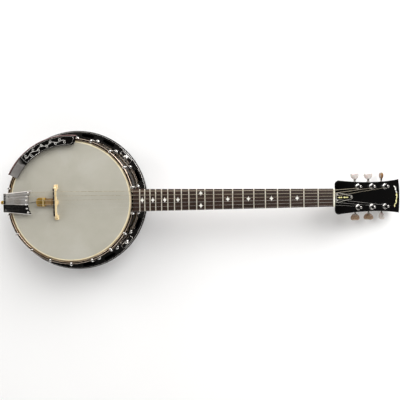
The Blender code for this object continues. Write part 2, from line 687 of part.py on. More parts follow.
def string_points(number):
    """Tailpiece, bridge, nut and post: the straight run of one string's centre line."""
    radius = STRING_GAUGES[number] / 2
    across = number - 2.5
    lift = radius + GAP
    bridge_y = STRING_CENTRE_Y + across * BRIDGE_STRING_SPACING
    bridge_x = BRIDGE_X - sin(BRIDGE_SKEW) * across * BRIDGE_STRING_SPACING
    nut_y = across * NUT_STRING_SPACING
    tail_y = STRING_CENTRE_Y + across * TAIL_STRING_SPACING
    tail_x = TAIL_FRONT_X - 0.0140
    side = 1 if across > 0 else -1
    post = POST_S[int(2.5 - abs(across))]
    winding_z = POST_TOP - 0.0040
    beside_post = side * (POST_Y - POST_RADIUS - GAP - radius)
    top = headstock_matrix() @ Vector((post - POST_RADIUS * 0.4, beside_post, winding_z))
    return [
        (tail_x, tail_y, TAIL_PLATE_Z[1] + lift),
        (bridge_x, bridge_y, BRIDGE_TOP_Z - STRING_NOTCH + lift),
        (NUT_X + NUT_THICKNESS / 2, nut_y, board_top(NUT_X) + NUT_STANDS + lift),
        tuple(top),
    ]


def make_strings(material):
    """Six strings, 1 the lightest on -Y and 6 the heaviest on +Y."""
    for number, gauge in enumerate(STRING_GAUGES):
        curve = bpy.data.curves.new(f"string_{number + 1}", "CURVE")
        curve.dimensions = "3D"
        curve.bevel_depth = gauge / 2
        curve.bevel_resolution = 2
        curve.render_resolution_u = 0
        curve.use_fill_caps = True
        spline = curve.splines.new("POLY")
        points = string_points(number)
        spline.points.add(len(points) - 1)
        for target, point in zip(spline.points, points):
            target.co = (*point, 1.0)
        place(f"string_{number + 1}", curve)
        curve.materials.append(material)


def main():
    clear_scene()
    chrome = make_material("chrome", (0.62, 0.62, 0.62), 0.12, 1.0)
    cast = make_material("cast_brass", (0.70, 0.52, 0.24), 0.30, 1.0)
    steel = make_material("steel", (0.55, 0.55, 0.56), 0.30, 1.0)
    brass = make_material("brass", (0.72, 0.52, 0.20), 0.28, 1.0)
    maple = make_material("maple", (0.78, 0.58, 0.34), 0.40)
    lacquer = make_material("black_lacquer", (0.010, 0.010, 0.010), 0.10)
    mahogany = make_material("mahogany", (0.16, 0.055, 0.030), 0.25)
    rosewood = make_material("rosewood", (0.055, 0.032, 0.022), 0.45)
    film = make_material("frosted_film", (0.60, 0.58, 0.50), 0.60)
    bone = make_material("bone", (0.88, 0.86, 0.78), 0.35)
    pearl = make_material("pearl_plastic", (0.78, 0.72, 0.60), 0.20)
    plastic = make_material("black_plastic", (0.012, 0.012, 0.012), 0.15)
    wire = make_material("string_wire", (0.72, 0.66, 0.55), 0.30, 1.0)

    make_resonator(lacquer)
    make_wood_rim(maple)
    make_tone_ring(cast)
    make_drum_head(film)
    make_tension_hoop(chrome)
    make_flange(chrome)
    make_hooks(chrome)
    make_coordinator_rod(steel)

    frame = headstock_frame()
    make_neck(mahogany)
    make_truss_rod(steel)
    make_fingerboard(rosewood)
    make_nut(bone)
    make_truss_rod_cover(plastic, frame)
    make_tuners(chrome, pearl, frame)

    make_bridge(maple)
    make_tailpiece(chrome)
    make_tailpiece_bracket(chrome)
    make_tailpiece_nut(brass)
    make_armrest(chrome)
    make_mute(brass)
    make_strings(wire)


main()
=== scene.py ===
"""Looks of the six-string resonator banjo: fine meshes and materials round the CAD frame."""
from math import cos, degrees, exp, pi, radians, sin, sqrt, tan

import bmesh
import bpy
from mathutils import Matrix, Vector


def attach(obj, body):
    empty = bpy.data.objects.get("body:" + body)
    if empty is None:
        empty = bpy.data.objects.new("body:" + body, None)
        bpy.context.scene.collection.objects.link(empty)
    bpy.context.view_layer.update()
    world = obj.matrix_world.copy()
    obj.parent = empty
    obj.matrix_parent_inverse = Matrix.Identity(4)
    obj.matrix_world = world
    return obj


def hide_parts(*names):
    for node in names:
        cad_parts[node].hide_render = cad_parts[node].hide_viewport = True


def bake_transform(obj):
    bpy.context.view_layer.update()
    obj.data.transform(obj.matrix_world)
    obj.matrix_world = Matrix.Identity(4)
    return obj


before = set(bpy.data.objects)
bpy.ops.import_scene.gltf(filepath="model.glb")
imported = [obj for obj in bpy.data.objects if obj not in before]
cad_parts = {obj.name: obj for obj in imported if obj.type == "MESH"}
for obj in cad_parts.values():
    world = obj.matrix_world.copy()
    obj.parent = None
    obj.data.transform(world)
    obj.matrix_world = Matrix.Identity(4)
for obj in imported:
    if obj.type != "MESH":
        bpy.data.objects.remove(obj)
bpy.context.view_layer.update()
SCENE = bpy.context.scene

# --- sizes shared with the CAD model, in metres and degrees ------------------------
HEAD_RADIUS = 0.1397
HEAD_Z = 0.1100
HOOP_Z = (0.1006, 0.1125)
HOOP_RADII = (0.1412, 0.1460)
FLANGE_Z = (0.0663, 0.0690)
FLANGE_RADII = (0.1400, 0.1660)
RESONATOR_RADIUS = 0.1685
RESONATOR_TOP_Z = 0.0660
HOOK_ANGLES = (12, 31.5, 51, 70.5, 90, 109.5, 129, 148.5, 168)
HOOK_CIRCLE = 0.1490
HOOK_ROD = 0.0019
CLAW_NOTCH_Z = 0.1093
THUMB_ANGLES = (41, 139)
THUMB_CIRCLE = 0.1560
ROD_Z = 0.0560
NOTCH_HALF = 0.0232

SCALE_LENGTH = 0.6477
BRIDGE_X = -0.0320
NUT_X = BRIDGE_X + SCALE_LENGTH
NUT_THICKNESS = 0.0040
STRING_CENTRE_Y = -0.0025
BRIDGE_TOP_Z = 0.1265
BRIDGE_SKEW = 1.5
BOARD_X = HOOP_RADII[1] + 0.0006
BOARD_Z = 0.1120
BOARD_THICKNESS = 0.0047
BOARD_WIDTHS = (0.0520, 0.0430)
NECK_ANGLE = 3
NECK_SLOPE = tan(radians(NECK_ANGLE))
FRETS = 21

HEADSTOCK_X = NUT_X + NUT_THICKNESS + 0.0003
HEADSTOCK_Z = 0.0864
HEADSTOCK_TILT = 17
HEADSTOCK_LENGTH = 0.1850
HEADSTOCK_THICKNESS = 0.0150
HEADSTOCK_CORNER = 0.0120
OVERLAY = 0.0012
POST_S = (0.0647, 0.1042, 0.1437)
POST_Y = 0.0250
POST_RADIUS = 0.0030
POST_TOP = 0.0120
POST_WAIST = 0.0024
SHAFT_OFFSET = 0.0065
SHAFT_DEPTH = 0.0220
BUTTON_Y = 0.0515
BUTTONS = {1: (0, "pearl_white"), 2: (-8, "pearl_white"), 3: (72, "pearl_amber"),
           4: (-9, "pearl_brown"), 5: (-25, "pearl_brown"), 6: (84, "pearl_white")}

TAIL_Z = 0.1201
TAIL_BACK_X = -0.1480
TAIL_FRONT_X = -0.0830
TAIL_SCALLOP = 0.0080
TAIL_HALF = (0.02175, 0.02850)
THUMB_NUT_Z = 0.1025
GAUGES = (0.00028, 0.00036, 0.00046, 0.00062, 0.00082, 0.00104)
BRIDGE_SPACING = 0.0100
NUT_SPACING = 0.0072
TAIL_SPACING = 0.0090
PIN_SETBACK = 0.0052
STRING_GAP = 0.00012
WOUND_FROM = 0.0006



# --- points and matrices ----------------------------------------------------------
def polar(r, angle):
    return (r * cos(radians(angle)), r * sin(radians(angle)))


def arc(centre, r, start, end, steps):
    """Points on an arc in any plane; angles in degrees."""
    turns = [polar(r, start + (end - start) * i / steps) for i in range(steps + 1)]
    return [(centre[0] + a, centre[1] + b) for a, b in turns]


def spaced(low, high, count):
    """Evenly spaced values from low to high, both included."""
    return [low + (high - low) * i / count for i in range(count + 1)]


def raised(profile, z):
    """A (radius, height) profile lifted by z."""
    return [(radius, height + z) for radius, height in profile]


def shift(x, y, z=0.0):
    return Matrix.Translation((x, y, z))


def turn(angle, axis="Z"):
    return Matrix.Rotation(radians(angle), 4, axis)


HEADSTOCK = shift(HEADSTOCK_X, 0, HEADSTOCK_Z) @ turn(HEADSTOCK_TILT, "Y")


# --- mesh helpers -------------------------------------------------------------------
def shaded(mesh, sharp=38):
    """Smooth shading, with edges sharper than some degrees drawn sharp."""
    mesh.shade_smooth()
    if sharp:
        mesh.set_sharp_from_angle(angle=radians(sharp))
    return mesh


def mesh_of(bm, sharp=38):
    bmesh.ops.recalc_face_normals(bm, faces=bm.faces)
    mesh = bpy.data.meshes.new("shape")
    bm.to_mesh(mesh)
    bm.free()
    return shaded(mesh, sharp)


def piece(name, mesh, look, body="body", slot=None, replaces=(), matrix=None):
    """Link a mesh as a piece that rides on a CAD body, in one of the looks."""
    obj = bpy.data.objects.new(name, mesh)
    SCENE.collection.objects.link(obj)
    if matrix is not None:
        obj.matrix_world = matrix
    if not mesh.materials:
        mesh.materials.append(MATERIALS[look])
    elif mesh.materials[0] != MATERIALS[look]:
        obj.material_slots[0].link = "OBJECT"
        obj.material_slots[0].material = MATERIALS[look]
    if body:
        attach(obj, body)
    if replaces:
        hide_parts(*replaces)
    return obj


def revolve(profile, segments=192, sharp=38):
    """Turn a closed (radius, height) profile about Z; radius 0 is a pole."""
    bm = bmesh.new()
    rings = []
    for radius, height in profile:
        if radius == 0:
            rings.append([bm.verts.new((0, 0, height))] * segments)
            continue
        circle = [polar(radius, 360 * i / segments) for i in range(segments)]
        rings.append([bm.verts.new((x, y, height)) for x, y in circle])
    for lower, upper in zip(rings, rings[1:] + rings[:1]):
        for i in range(segments):
            j = (i + 1) % segments
            corners = list(dict.fromkeys((lower[i], lower[j], upper[j], upper[i])))
            if len(corners) > 2:
                bm.faces.new(corners)
    return mesh_of(bm, sharp)


def skin(sections, closed=False, sharp=38):
    """Skin equal-length closed sections; cap the ends, or join last to first."""
    bm = bmesh.new()
    rings = [[bm.verts.new(point) for point in section] for section in sections]
    count = len(rings[0])
    pairs = list(zip(rings, rings[1:]))
    if closed:
        pairs.append((rings[-1], rings[0]))
    for near, far in pairs:
        for i in range(count):
            j = (i + 1) % count
            bm.faces.new((near[i], near[j], far[j], far[i]))
    if not closed:
        bm.faces.new(rings[0])
        bm.faces.new(rings[-1])
    return mesh_of(bm, sharp)


def bevel_edges(bm, edges, offset, segments, profile=0.5, clamp=False):
    bmesh.ops.bevel(bm, geom=edges, offset=offset, segments=segments, affect="EDGES", profile=profile,
                    clamp_overlap=clamp)


def level_edges(bm):
    return [e for e in bm.edges if abs(e.verts[0].co.z - e.verts[1].co.z) < 1e-7]


def prism(outline, low, high, bevel=0.0, segments=3):
    """Extrude an (x, y) outline, then round its top and bottom edges."""
    bm = bmesh.new()
    base = bm.faces.new([bm.verts.new((x, y, low)) for x, y in outline])
    grown = bmesh.ops.extrude_face_region(bm, geom=[base])
    top = [v for v in grown["geom"] if isinstance(v, bmesh.types.BMVert)]
    bmesh.ops.translate(bm, vec=(0, 0, high - low), verts=top)
    if bevel:
        bevel_edges(bm, level_edges(bm), bevel, segments, clamp=True)
    return mesh_of(bm)


def box(low, high, bevel=0.0, segments=3):
    bm = bmesh.new()
    bmesh.ops.create_cube(bm, size=1.0)
    bmesh.ops.scale(bm, vec=Vector(high) - Vector(low), verts=bm.verts)
    bmesh.ops.translate(bm, vec=(Vector(low) + Vector(high)) / 2, verts=bm.verts)
    if bevel:
        bevel_edges(bm, bm.edges[:], bevel, segments)
    return mesh_of(bm)


def sweep(points, radius, sides=16, flat=1.0, sharp=50):
    """A round bar along points; radius is a number or one value a point, flat squashes
    the section across the bar's first side direction."""
    points = [Vector(p) for p in points]
    radii = radius if isinstance(radius, list) else [radius] * len(points)
    flats = flat if isinstance(flat, list) else [flat] * len(points)
    tangents = []
    for i in range(len(points)):
        ahead, behind = points[min(i + 1, len(points) - 1)], points[max(i - 1, 0)]
        tangents.append((ahead - behind).normalized())
    side = tangents[0].orthogonal().normalized()
    if abs(tangents[0].y) < 0.9:
        side = tangents[0].cross(Vector((0, 1, 0))).normalized()
    sections = []
    for point, tangent, size, thin in zip(points, tangents, radii, flats):
        side = (side - tangent * side.dot(tangent)).normalized()
        other = tangent.cross(side)
        circle = [polar(size, 360 * k / sides) for k in range(sides)]
        sections.append([point + side * (a * thin) + other * b for a, b in circle])
    return skin(sections, sharp=sharp)


def bar(start, end, radius, sides=24, chamfer=0.0):
    """A straight round bar with chamfered ends."""
    start, end = Vector(start), Vector(end)
    length = (end - start).length
    c = min(chamfer, length / 3)
    profile = [(0, 0), (radius - c, 0), (radius, c), (radius, length - c), (radius - c, length),
               (0, length)]
    if not c:
        profile = [(0, 0), (radius, 0), (radius, length), (0, length)]
    mesh = revolve(profile, sides)
    aim = Vector((0, 0, 1)).rotation_difference(end - start).to_matrix().to_4x4()
    mesh.transform(Matrix.Translation(start) @ aim)
    return mesh


def hexagon(radius, low, high, chamfer=0.0006):
    """A hexagonal nut blank with turned-down corners."""
    bm = bmesh.new()
    bmesh.ops.create_cone(bm, cap_ends=True, segments=6, radius1=radius, radius2=radius,
                          depth=high - low)
    bmesh.ops.translate(bm, vec=(0, 0, (high + low) / 2), verts=bm.verts)
    bevel_edges(bm, level_edges(bm), chamfer, 2, 0.6)
    return mesh_of(bm, 25)


def merged(meshes):
    """Several meshes as one, each keeping its own shell."""
    bm = bmesh.new()
    for mesh in meshes:
        bm.from_mesh(mesh)
    return mesh_of(bm)


def boolean(base, tools, operation="DIFFERENCE", sharp=38):
    work = bpy.data.objects.new("work", base)
    used = [work]
    for tool in tools:
        used.append(bpy.data.objects.new("tool", tool))
        step = work.modifiers.new("step", "BOOLEAN")
        step.operation = operation
        step.object = used[-1]
    for obj in used:
        SCENE.collection.objects.link(obj)
    result = bpy.data.meshes.new_from_object(
        work.evaluated_get(bpy.context.evaluated_depsgraph_get()))
    for obj in used:
        bpy.data.objects.remove(obj, do_unlink=True)
    result.materials.clear()
    return shaded(result, sharp)


def moved(mesh, matrix):
    mesh.transform(matrix)
    return mesh


def both(angles):
    return [side * angle for side in (1, -1) for angle in angles]


def ride_round(name, mesh, look, angles):
    """Copies of one mesh round the pot."""
    for number, angle in enumerate(angles, start=1):
        piece(f"{name}_{number:02d}", mesh, look, matrix=turn(angle))


# --- materials ------------------------------------------------------------------------
MATERIALS = {}


def linear(hex_code):
    """An sRGB hex colour as linear RGBA."""
    parts = [int(hex_code[i:i + 2], 16) / 255 for i in (0, 2, 4)]
    return (*[c / 12.92 if c <= 0.04045 else ((c + 0.055) / 1.055) ** 2.4 for c in parts], 1.0)


class Shader:
    """A small wrapper for building a Principled material from procedural nodes."""

    def __init__(self, look, **constants):
        self.material = MATERIALS[look] = bpy.data.materials.new(look)
        self.material.use_nodes = True
        self.tree = self.material.node_tree
        self.shader = self.tree.nodes["Principled BSDF"]
        self.coordinates = self.tree.nodes.new("ShaderNodeTexCoord").outputs["Object"]
        for key, value in constants.items():
            self.shader.inputs[key.replace("_", " ")].default_value = value

    def node(self, kind, constants=(), links=()):
        """A new node with some sockets set to constants and some linked; returns it."""
        node = self.tree.nodes.new("ShaderNode" + kind)
        for key, value in dict(constants).items():
            node.inputs[key].default_value = value
        for key, value in dict(links).items():
            self.tree.links.new(value, node.inputs[key])
        return node

    def stretched(self, scale, rotation=(0, 0, 0)):
        sockets = {"Scale": scale, "Rotation": rotation}
        return self.node("Mapping", sockets, {"Vector": self.coordinates}).outputs["Vector"]

    def noise(self, scale, detail, rough=0.5, distortion=0.0, stretch=None, rotation=(0, 0, 0)):
        vector = self.stretched(stretch, rotation) if stretch else self.coordinates
        sockets = {"Scale": scale, "Detail": detail, "Roughness": rough, "Distortion": distortion}
        return self.node("TexNoise", sockets, {"Vector": vector}).outputs["Fac"]

    def wave(self, scale, distortion, detail, direction, vector=None):
        sockets = {"Scale": scale, "Distortion": distortion, "Detail": detail}
        node = self.node("TexWave", sockets, {"Vector": vector or self.coordinates})
        node.bands_direction = direction
        return node.outputs["Fac"]

    def ramp(self, value, stops):
        node = self.node("ValToRGB", links={"Fac": value})
        elements = node.color_ramp.elements
        for index, (place, colour) in enumerate(stops):
            stop = elements[index] if index < 2 else elements.new(place)
            stop.position = place
            stop.color = linear(colour)
        return node.outputs["Color"]

    def spread(self, value, low, high, from_low=0.3, from_high=0.7):
        sockets = {"From Min": from_low, "From Max": from_high, "To Min": low, "To Max": high}
        return self.node("MapRange", sockets, {"Value": value}).outputs["Result"]

    def maths(self, operation, *values):
        node = self.node("Math", links=dict(enumerate(values)))
        node.operation = operation
        return node.outputs["Value"]

    def mix(self, factor, first, second):
        node = self.node("Mix")
        node.data_type = "RGBA"
        self.tree.links.new(factor, node.inputs[0])
        for socket, value in ((node.inputs[6], first), (node.inputs[7], second)):
            if isinstance(value, str):
                socket.default_value = linear(value)
            else:
                self.tree.links.new(value, socket)
        return node.outputs[2]

    def radius(self):
        """Distance from the pot's axis."""
        parts = self.node("SeparateXYZ", links={0: self.coordinates}).outputs
        squares = [self.maths("MULTIPLY", parts[i], parts[i]) for i in (0, 1)]
        return self.maths("SQRT", self.maths("ADD", *squares))

    def set(self, **links):
        for key, value in links.items():
            self.tree.links.new(value, self.shader.inputs[key.replace("_", " ")])

    def bump(self, value, distance, strength=1.0):
        node = self.node("Bump", {"Distance": distance, "Strength": strength}, {"Height": value})
        previous = self.shader.inputs["Normal"].links
        if previous:
            self.tree.links.new(previous[0].from_socket, node.inputs["Normal"])
        self.set(Normal=node.outputs["Normal"])


def polished_metal(look, bright, dull, rough=(0.05, 0.13), scratch=0.35):
    """Plated or polished metal: cloudy haze, hairline scratches and dull patches."""
    m = Shader(look, Metallic=1.0)
    haze = m.noise(38, 5, 0.6)
    m.set(Base_Color=m.mix(m.spread(haze, 0.0, 1.0, 0.35, 0.75), bright, dull))
    hair = m.noise(900, 2, 0.6, 0.0, (1.0, 0.06, 1.0), (0, 0, 0.6))
    m.set(Roughness=m.maths("ADD", m.spread(haze, *rough), m.spread(hair, 0.0, 0.05, 0.55, 0.75)))
    m.bump(hair, 0.00002, scratch)


def mottled(look, cloud, stops, rough, fine=None, grit=None, **constants):
    """Colour stops along a noise; roughness follows it or a finer noise; grit adds a bump."""
    m = Shader(look, **constants)
    m.pattern = m.noise(*cloud)
    m.set(Base_Color=m.ramp(m.pattern, stops))
    m.set(Roughness=m.spread(m.noise(*fine) if fine else m.pattern, *rough))
    if grit:
        scale, distance, strength = grit
        m.bump(m.noise(scale, 2), distance, strength)
    return m


def make_plain_materials():
    """Metals, plastics and inlays."""
    polished_metal("chrome", "d9d8d6", "b9b2aa")
    polished_metal("dark_chrome", "8c8884", "5f5a56", (0.08, 0.2))
    polished_metal("black_chrome", "a8a5a3", "8e8a87", (0.03, 0.07))
    # Dark, rose-tinted chrome for the armrest's lip: the tint and darkness are a painted dim, warm
    # reflection, not the plating's colour.
    polished_metal("chrome_painted_rose_reflection", "8f7372", "6a504f", (0.12, 0.25))
    polished_metal("nickel", "d0bfae", "a58f7c")
    polished_metal("steel", "a9a8a6", "7f7d7a", (0.18, 0.34), 0.6)
    polished_metal("cast_brass", "b79a5e", "8a6f3c", (0.28, 0.45), 0.6)
    # Lighter brass for the mute's ridge: its light colour is a painted highlight along the ridge's top.
    polished_metal("brass_painted_highlight", "ecd9a2", "cdb274", (0.30, 0.42))
    polished_metal("wound_coil", "b5ab98", "8c826f", (0.25, 0.4), 0.3)

    m = mottled("brass", (120, 6, 0.65, 0.4), [(0.30, "92722f"), (0.55, "d0a654"), (0.8, "ecce86")],
                (0.46, 0.30), Metallic=1.0)
    m.bump(m.noise(700, 2, stretch=(0.08, 1.0, 1.0)), 0.00003, 0.5)
    mottled("gold", (200, 4), [(0.35, "7d6428"), (0.7, "c9a650")], (0.30, 0.14),
            grit=(900, 0.00003, 0.4), Metallic=1.0)
    m = mottled("fret", (260, 4), [(0.3, "ddd5c2"), (0.7, "f6f1e6")], (0.40, 0.55), Metallic=1.0)
    m.bump(m.noise(1600, 2, stretch=(0.2, 1, 1)), 0.00001, 0.5)
    mottled("plain_wire", (300, 3), [(0.3, "aaa8a3"), (0.7, "d0cec8")], (0.32, 0.45), (900, 2),
            Metallic=1.0)
    m = mottled("wound_wire", (300, 3), [(0.3, "978e7c"), (0.7, "c4baa6")], (0.36, 0.50), (900, 2),
                Metallic=1.0)
    m.bump(m.wave(620, 0.0, 0.0, "X"), 0.00006, 0.9)
    mottled("silver_paint", (1500, 3), [(0.3, "bdbab4"), (0.7, "e6e4e0")], (0.4, 0.6), IOR=1.5,
            Metallic=0.25)

    mottled("plastic", (40, 3), [(0.3, "080808"), (0.7, "0f0e0e")], (0.14, 0.28), (500, 3),
            (350, 0.00002, 0.3), IOR=1.5, Coat_Weight=0.5, Coat_Roughness=0.05)
    mottled("white_plastic", (120, 3), [(0.3, "cfcabb"), (0.7, "e4e0d4")], (0.3, 0.45), (500, 3), IOR=1.5)
    mottled("pearl", (240, 5, 0.6, 2.5),
            [(0.3, "dfe4da"), (0.48, "f4f2ea"), (0.6, "faf7f2"), (0.75, "e6dee4")], (0.12, 0.3), IOR=1.6,
            Coat_Weight=0.6, Coat_Roughness=0.08)
    mottled("gold_inlay", (260, 5, 0.6, 1.5), [(0.3, "b7ad62"), (0.5, "e6dfa2"), (0.7, "f4f2d6")],
            (0.2, 0.4), IOR=1.5, Coat_Weight=0.5, Coat_Roughness=0.1)
    for look, stops in {
        "pearl_white": [(0.30, "b3aca5"), (0.50, "cbc5c0"), (0.68, "dad6d2")],
        "pearl_amber": [(0.30, "4e350c"), (0.50, "785316"), (0.68, "a07a34")],
        "pearl_brown": [(0.30, "67533e"), (0.50, "87725a"), (0.68, "a89883")],
    }.items():
        mottled(look, (95, 6, 0.6, 3.0), stops, (0.12, 0.26), grit=(300, 0.00002, 0.3), IOR=1.5,
                Coat_Weight=0.8, Coat_Roughness=0.06, Subsurface_Weight=0.08)


def make_natural_materials():
    """Lacquer, head film, woods, bone and the mute's pad."""
    m = Shader("lacquer", Coat_Weight=1.0, Coat_Roughness=0.03, IOR=1.5)
    flow = m.noise(9, 3)
    m.set(Base_Color=m.ramp(flow, [(0.3, "030303"), (0.7, "070606")]))
    dust = m.spread(m.noise(1400, 1), 0.0, 0.12, 0.68, 0.80)
    m.set(Roughness=m.maths("ADD", m.spread(flow, 0.03, 0.08), dust))
    m.bump(m.noise(60, 2), 0.00002, 0.25)

    m = Shader("film", IOR=1.5, Sheen_Weight=0.15)
    cloud = m.noise(14, 5, 0.6, 0.3)
    film = m.ramp(cloud, [(0.30, "a7a497"), (0.52, "adaa9e"), (0.75, "b3b1a7")])
    film = m.mix(m.spread(m.noise(55, 6, 0.7, 1.0), 0.0, 0.16, 0.55, 0.80), film, "98958a")
    cream = m.ramp(m.noise(90, 3), [(0.3, "dccfaa"), (0.7, "e8dfc0")])
    m.set(Base_Color=m.mix(m.spread(m.radius(), 0.0, 1.0, 0.1357, 0.1366), film, cream))
    m.set(Roughness=m.spread(cloud, 0.42, 0.58))
    m.bump(m.noise(2600, 2, 0.6), 0.00006, 0.5)
    m.bump(cloud, 0.0003, 0.15)

    m = Shader("maple", IOR=1.5, Coat_Weight=0.4, Coat_Roughness=0.15)
    grain = m.wave(60, 5.0, 3.0, "Z", m.stretched((1, 0.25, 1)))
    wood = m.ramp(grain, [(0.0, "d0b078"), (0.5, "e5cf9f"), (1.0, "f3e6c4")])
    flame = m.spread(m.noise(160, 3, stretch=(1, 0.15, 1)), 0, 0.45)
    m.set(Base_Color=m.mix(flame, wood, "c9a96f"), Roughness=m.spread(grain, 0.32, 0.46))
    m.bump(m.noise(1500, 2), 0.00003, 0.5)

    mottled("stained", (30, 6, 0.6, 0.5, (1, 1, 6)), [(0.3, "0e0805"), (0.7, "22130b")], (0.3, 0.45),
            IOR=1.5, Coat_Weight=0.6, Coat_Roughness=0.1)
    m = mottled("ebony", (400, 4, 0.5, 0.0, (1, 0.08, 1)), [(0.3, "0f0b09"), (0.7, "241b16")],
                (0.30, 0.5), IOR=1.5)
    m.bump(m.pattern, 0.00004, 0.5)

    m = Shader("mahogany", IOR=1.5, Coat_Weight=1.0, Coat_Roughness=0.05)
    streak = m.noise(26, 7, 0.62, 0.6, (0.10, 1.0, 1.0))
    pores = m.spread(m.noise(900, 2, stretch=(0.04, 1.0, 1.0)), 0.0, 0.75, 0.60, 0.72)
    wood = m.ramp(streak, [(0.28, "2c110a"), (0.5, "4a1f12"), (0.74, "6b3320")])
    m.set(Base_Color=m.mix(pores, wood, "1a0904"), Roughness=m.spread(streak, 0.22, 0.36))
    m.bump(pores, 0.00003, 0.3)

    m = Shader("rosewood", IOR=1.42)
    streak = m.noise(42, 8, 0.62, 0.9, (0.09, 1.0, 1.0))
    band = m.noise(9, 3, stretch=(1.0, 2.2, 1.0))
    pores = m.spread(m.noise(1100, 2, stretch=(0.035, 1.0, 1.0)), 0.0, 0.9, 0.60, 0.70)
    wood = m.ramp(streak, [(0.26, "130b07"), (0.46, "2a190f"), (0.62, "3f281a"), (0.80, "5c402c")])
    wood = m.mix(m.spread(band, 0.0, 0.5), wood, "2b190f")
    m.set(Base_Color=m.mix(pores, wood, "120a07"), Roughness=m.spread(streak, 0.42, 0.62))
    m.bump(pores, 0.00008, 0.6)
    m.bump(streak, 0.00006, 0.4)

    mottled("bone", (180, 5, 0.6, 0.8, (1, 0.3, 1)), [(0.3, "ddd5bd"), (0.6, "efeadb"), (0.8, "f6f3e8")],
            (0.28, 0.42), grit=(1300, 0.00002, 0.4), IOR=1.54, Subsurface_Weight=0.05)
    m = mottled("mute_pad", (800, 3), [(0.3, "6d5432"), (0.7, "9a7c50")], (0.45, 0.65), IOR=1.45)
    m.bump(m.pattern, 0.00004, 0.5)


# --- the pot ----------------------------------------------------------------------------
def build_resonator():
    """Turned bowl: arched back, rounded shoulder, straight wall, rounded lip."""
    wall, top = RESONATOR_RADIUS, RESONATOR_TOP_Z
    back = [(0, 0), (0.0600, 0), (0.1195, 0), (0.1290, 0.0006), (0.1380, 0.0017), (0.1450, 0.0034)]
    shoulder = arc((0.1466, 0.0180), 0.0139, -72, 0, 10)
    lip = arc((wall - 0.0010, top - 0.0010), 0.0010, 0, 90, 4)
    inside = [(wall - 0.0056, top), (wall - 0.0062, top - 0.0006), (0.1545, 0.0190),
              (0.1510, 0.0120), (0.1440, 0.0084), (0.1350, 0.0062), (0, 0.0050)]
    bowl = revolve(back + shoulder + lip + inside, 224)
    notch = box((0.1500, -NOTCH_HALF, 0.0443), (0.1800, NOTCH_HALF, 0.0800))
    piece("resonator_shell", boolean(bowl, [notch]), "lacquer", replaces=("resonator",))


def build_head():
    """Film with its cream crown and crimped collar, and the flesh hoop under it."""
    under = HEAD_Z - 0.0006
    top = [(r, HEAD_Z) for r in (0, 0.0500, 0.1000, 0.1330)]
    crown = arc((0.1370, HEAD_Z - 0.0034), 0.0034, 90, 0, 8)
    collar = [(0.1406, 0.1040), (0.1406, 0.1004), (0.1400, 0.1004), (0.1400, 0.1060)]
    film = revolve(top + crown + collar + [(0.1384, under), (0, under)], 224)
    piece("drum_head_film", film, "film", replaces=("drum_head",))
    hoop = revolve(arc((0.1422, 0.0984), 0.0018, 0, 360, 16)[:-1], 160)
    piece("flesh_hoop", hoop, "dark_chrome")


def build_hoop():
    """Notched tension hoop with rounded top edges."""
    low, high = HOOP_Z
    inner, outer = HOOP_RADII
    profile = [(inner, low), (outer - 0.0004, low), (outer, low + 0.0004)]
    profile += arc((outer - 0.0012, high - 0.0012), 0.0012, 0, 90, 5)
    profile += arc((inner + 0.0007, high - 0.0007), 0.0007, 90, 180, 4)
    notches = [moved(box((0.1380, -0.0030, CLAW_NOTCH_Z), (0.1500, 0.0030, 0.1200), 0.0005, 2),
                     turn(angle)) for angle in both(HOOK_ANGLES)]
    band = boolean(revolve(profile, 256), notches)
    piece("tension_hoop_band", band, "nickel", replaces=("tension_hoop",))


def pill(cx, cy, width, length):
    """A slot outline with round ends, long in y."""
    r, half = width / 2, (length - width) / 2
    return arc((cx, cy + half), r, 0, 180, 8) + arc((cx, cy - half), r, 180, 360, 8)


def rounded_rectangle(cx, width, height, r):
    corners = ((1, 1, 0), (-1, 1, 90), (-1, -1, 180), (1, -1, 270))
    return [point for sx, sy, start in corners
            for point in arc((cx + sx * (width / 2 - r), sy * (height / 2 - r)), r, start, start + 90, 5)]


def build_flange():
    """Flange with a rolled rim, sound slots, hook holes and raised thumb-screw plates."""
    low, high = FLANGE_Z
    inner, outer = FLANGE_RADII
    bead = arc((outer - 0.0006, high - 0.0006), 0.0006, 0, 90, 5)
    ring = revolve([(inner, low), (outer, low)] + bead + [(inner, high)], 256)
    under, over = low - 0.01, high + 0.01
    tools = [box((0.1300, -NOTCH_HALF, 0.0500), (0.1800, NOTCH_HALF, 0.0900))]
    for angle in both(HOOK_ANGLES):
        hole = bar((HOOK_CIRCLE, 0, under), (HOOK_CIRCLE, 0, over), HOOK_ROD + 0.0005, 20)
        tools.append(moved(hole, turn(angle)))
    for first, second in zip(HOOK_ANGLES, HOOK_ANGLES[1:]):
        middle = (first + second) / 2
        if min(abs(middle - screw) for screw in THUMB_ANGLES) >= 5:
            tools += [moved(prism(pill(0.1575, 0, 0.0070, 0.0300), under, over), turn(side * middle))
                      for side in (1, -1)]
    piece("flange_plate", boolean(ring, tools), "chrome", replaces=("flange",))
    seat, bore = high + 0.0007, HOOK_ROD + 0.0004
    plate = prism(rounded_rectangle(0.1568, 0.0118, 0.0340, 0.0026), high - 0.0009, seat, 0.0005)
    ride_round("resonator_plate", plate, "chrome", both(THUMB_ANGLES))
    boss = revolve(raised([(bore, -0.0004), (0.0046, -0.0004), (0.0046, 0.0003), (0.0038, 0.0013),
                           (0.0028, 0.0017), (bore, 0.0017)], high), 32)
    ride_round("flange_boss", moved(boss, shift(HOOK_CIRCLE + 0.0003, 0)), "chrome",
               both(HOOK_ANGLES))
    build_thumb_screws(seat)


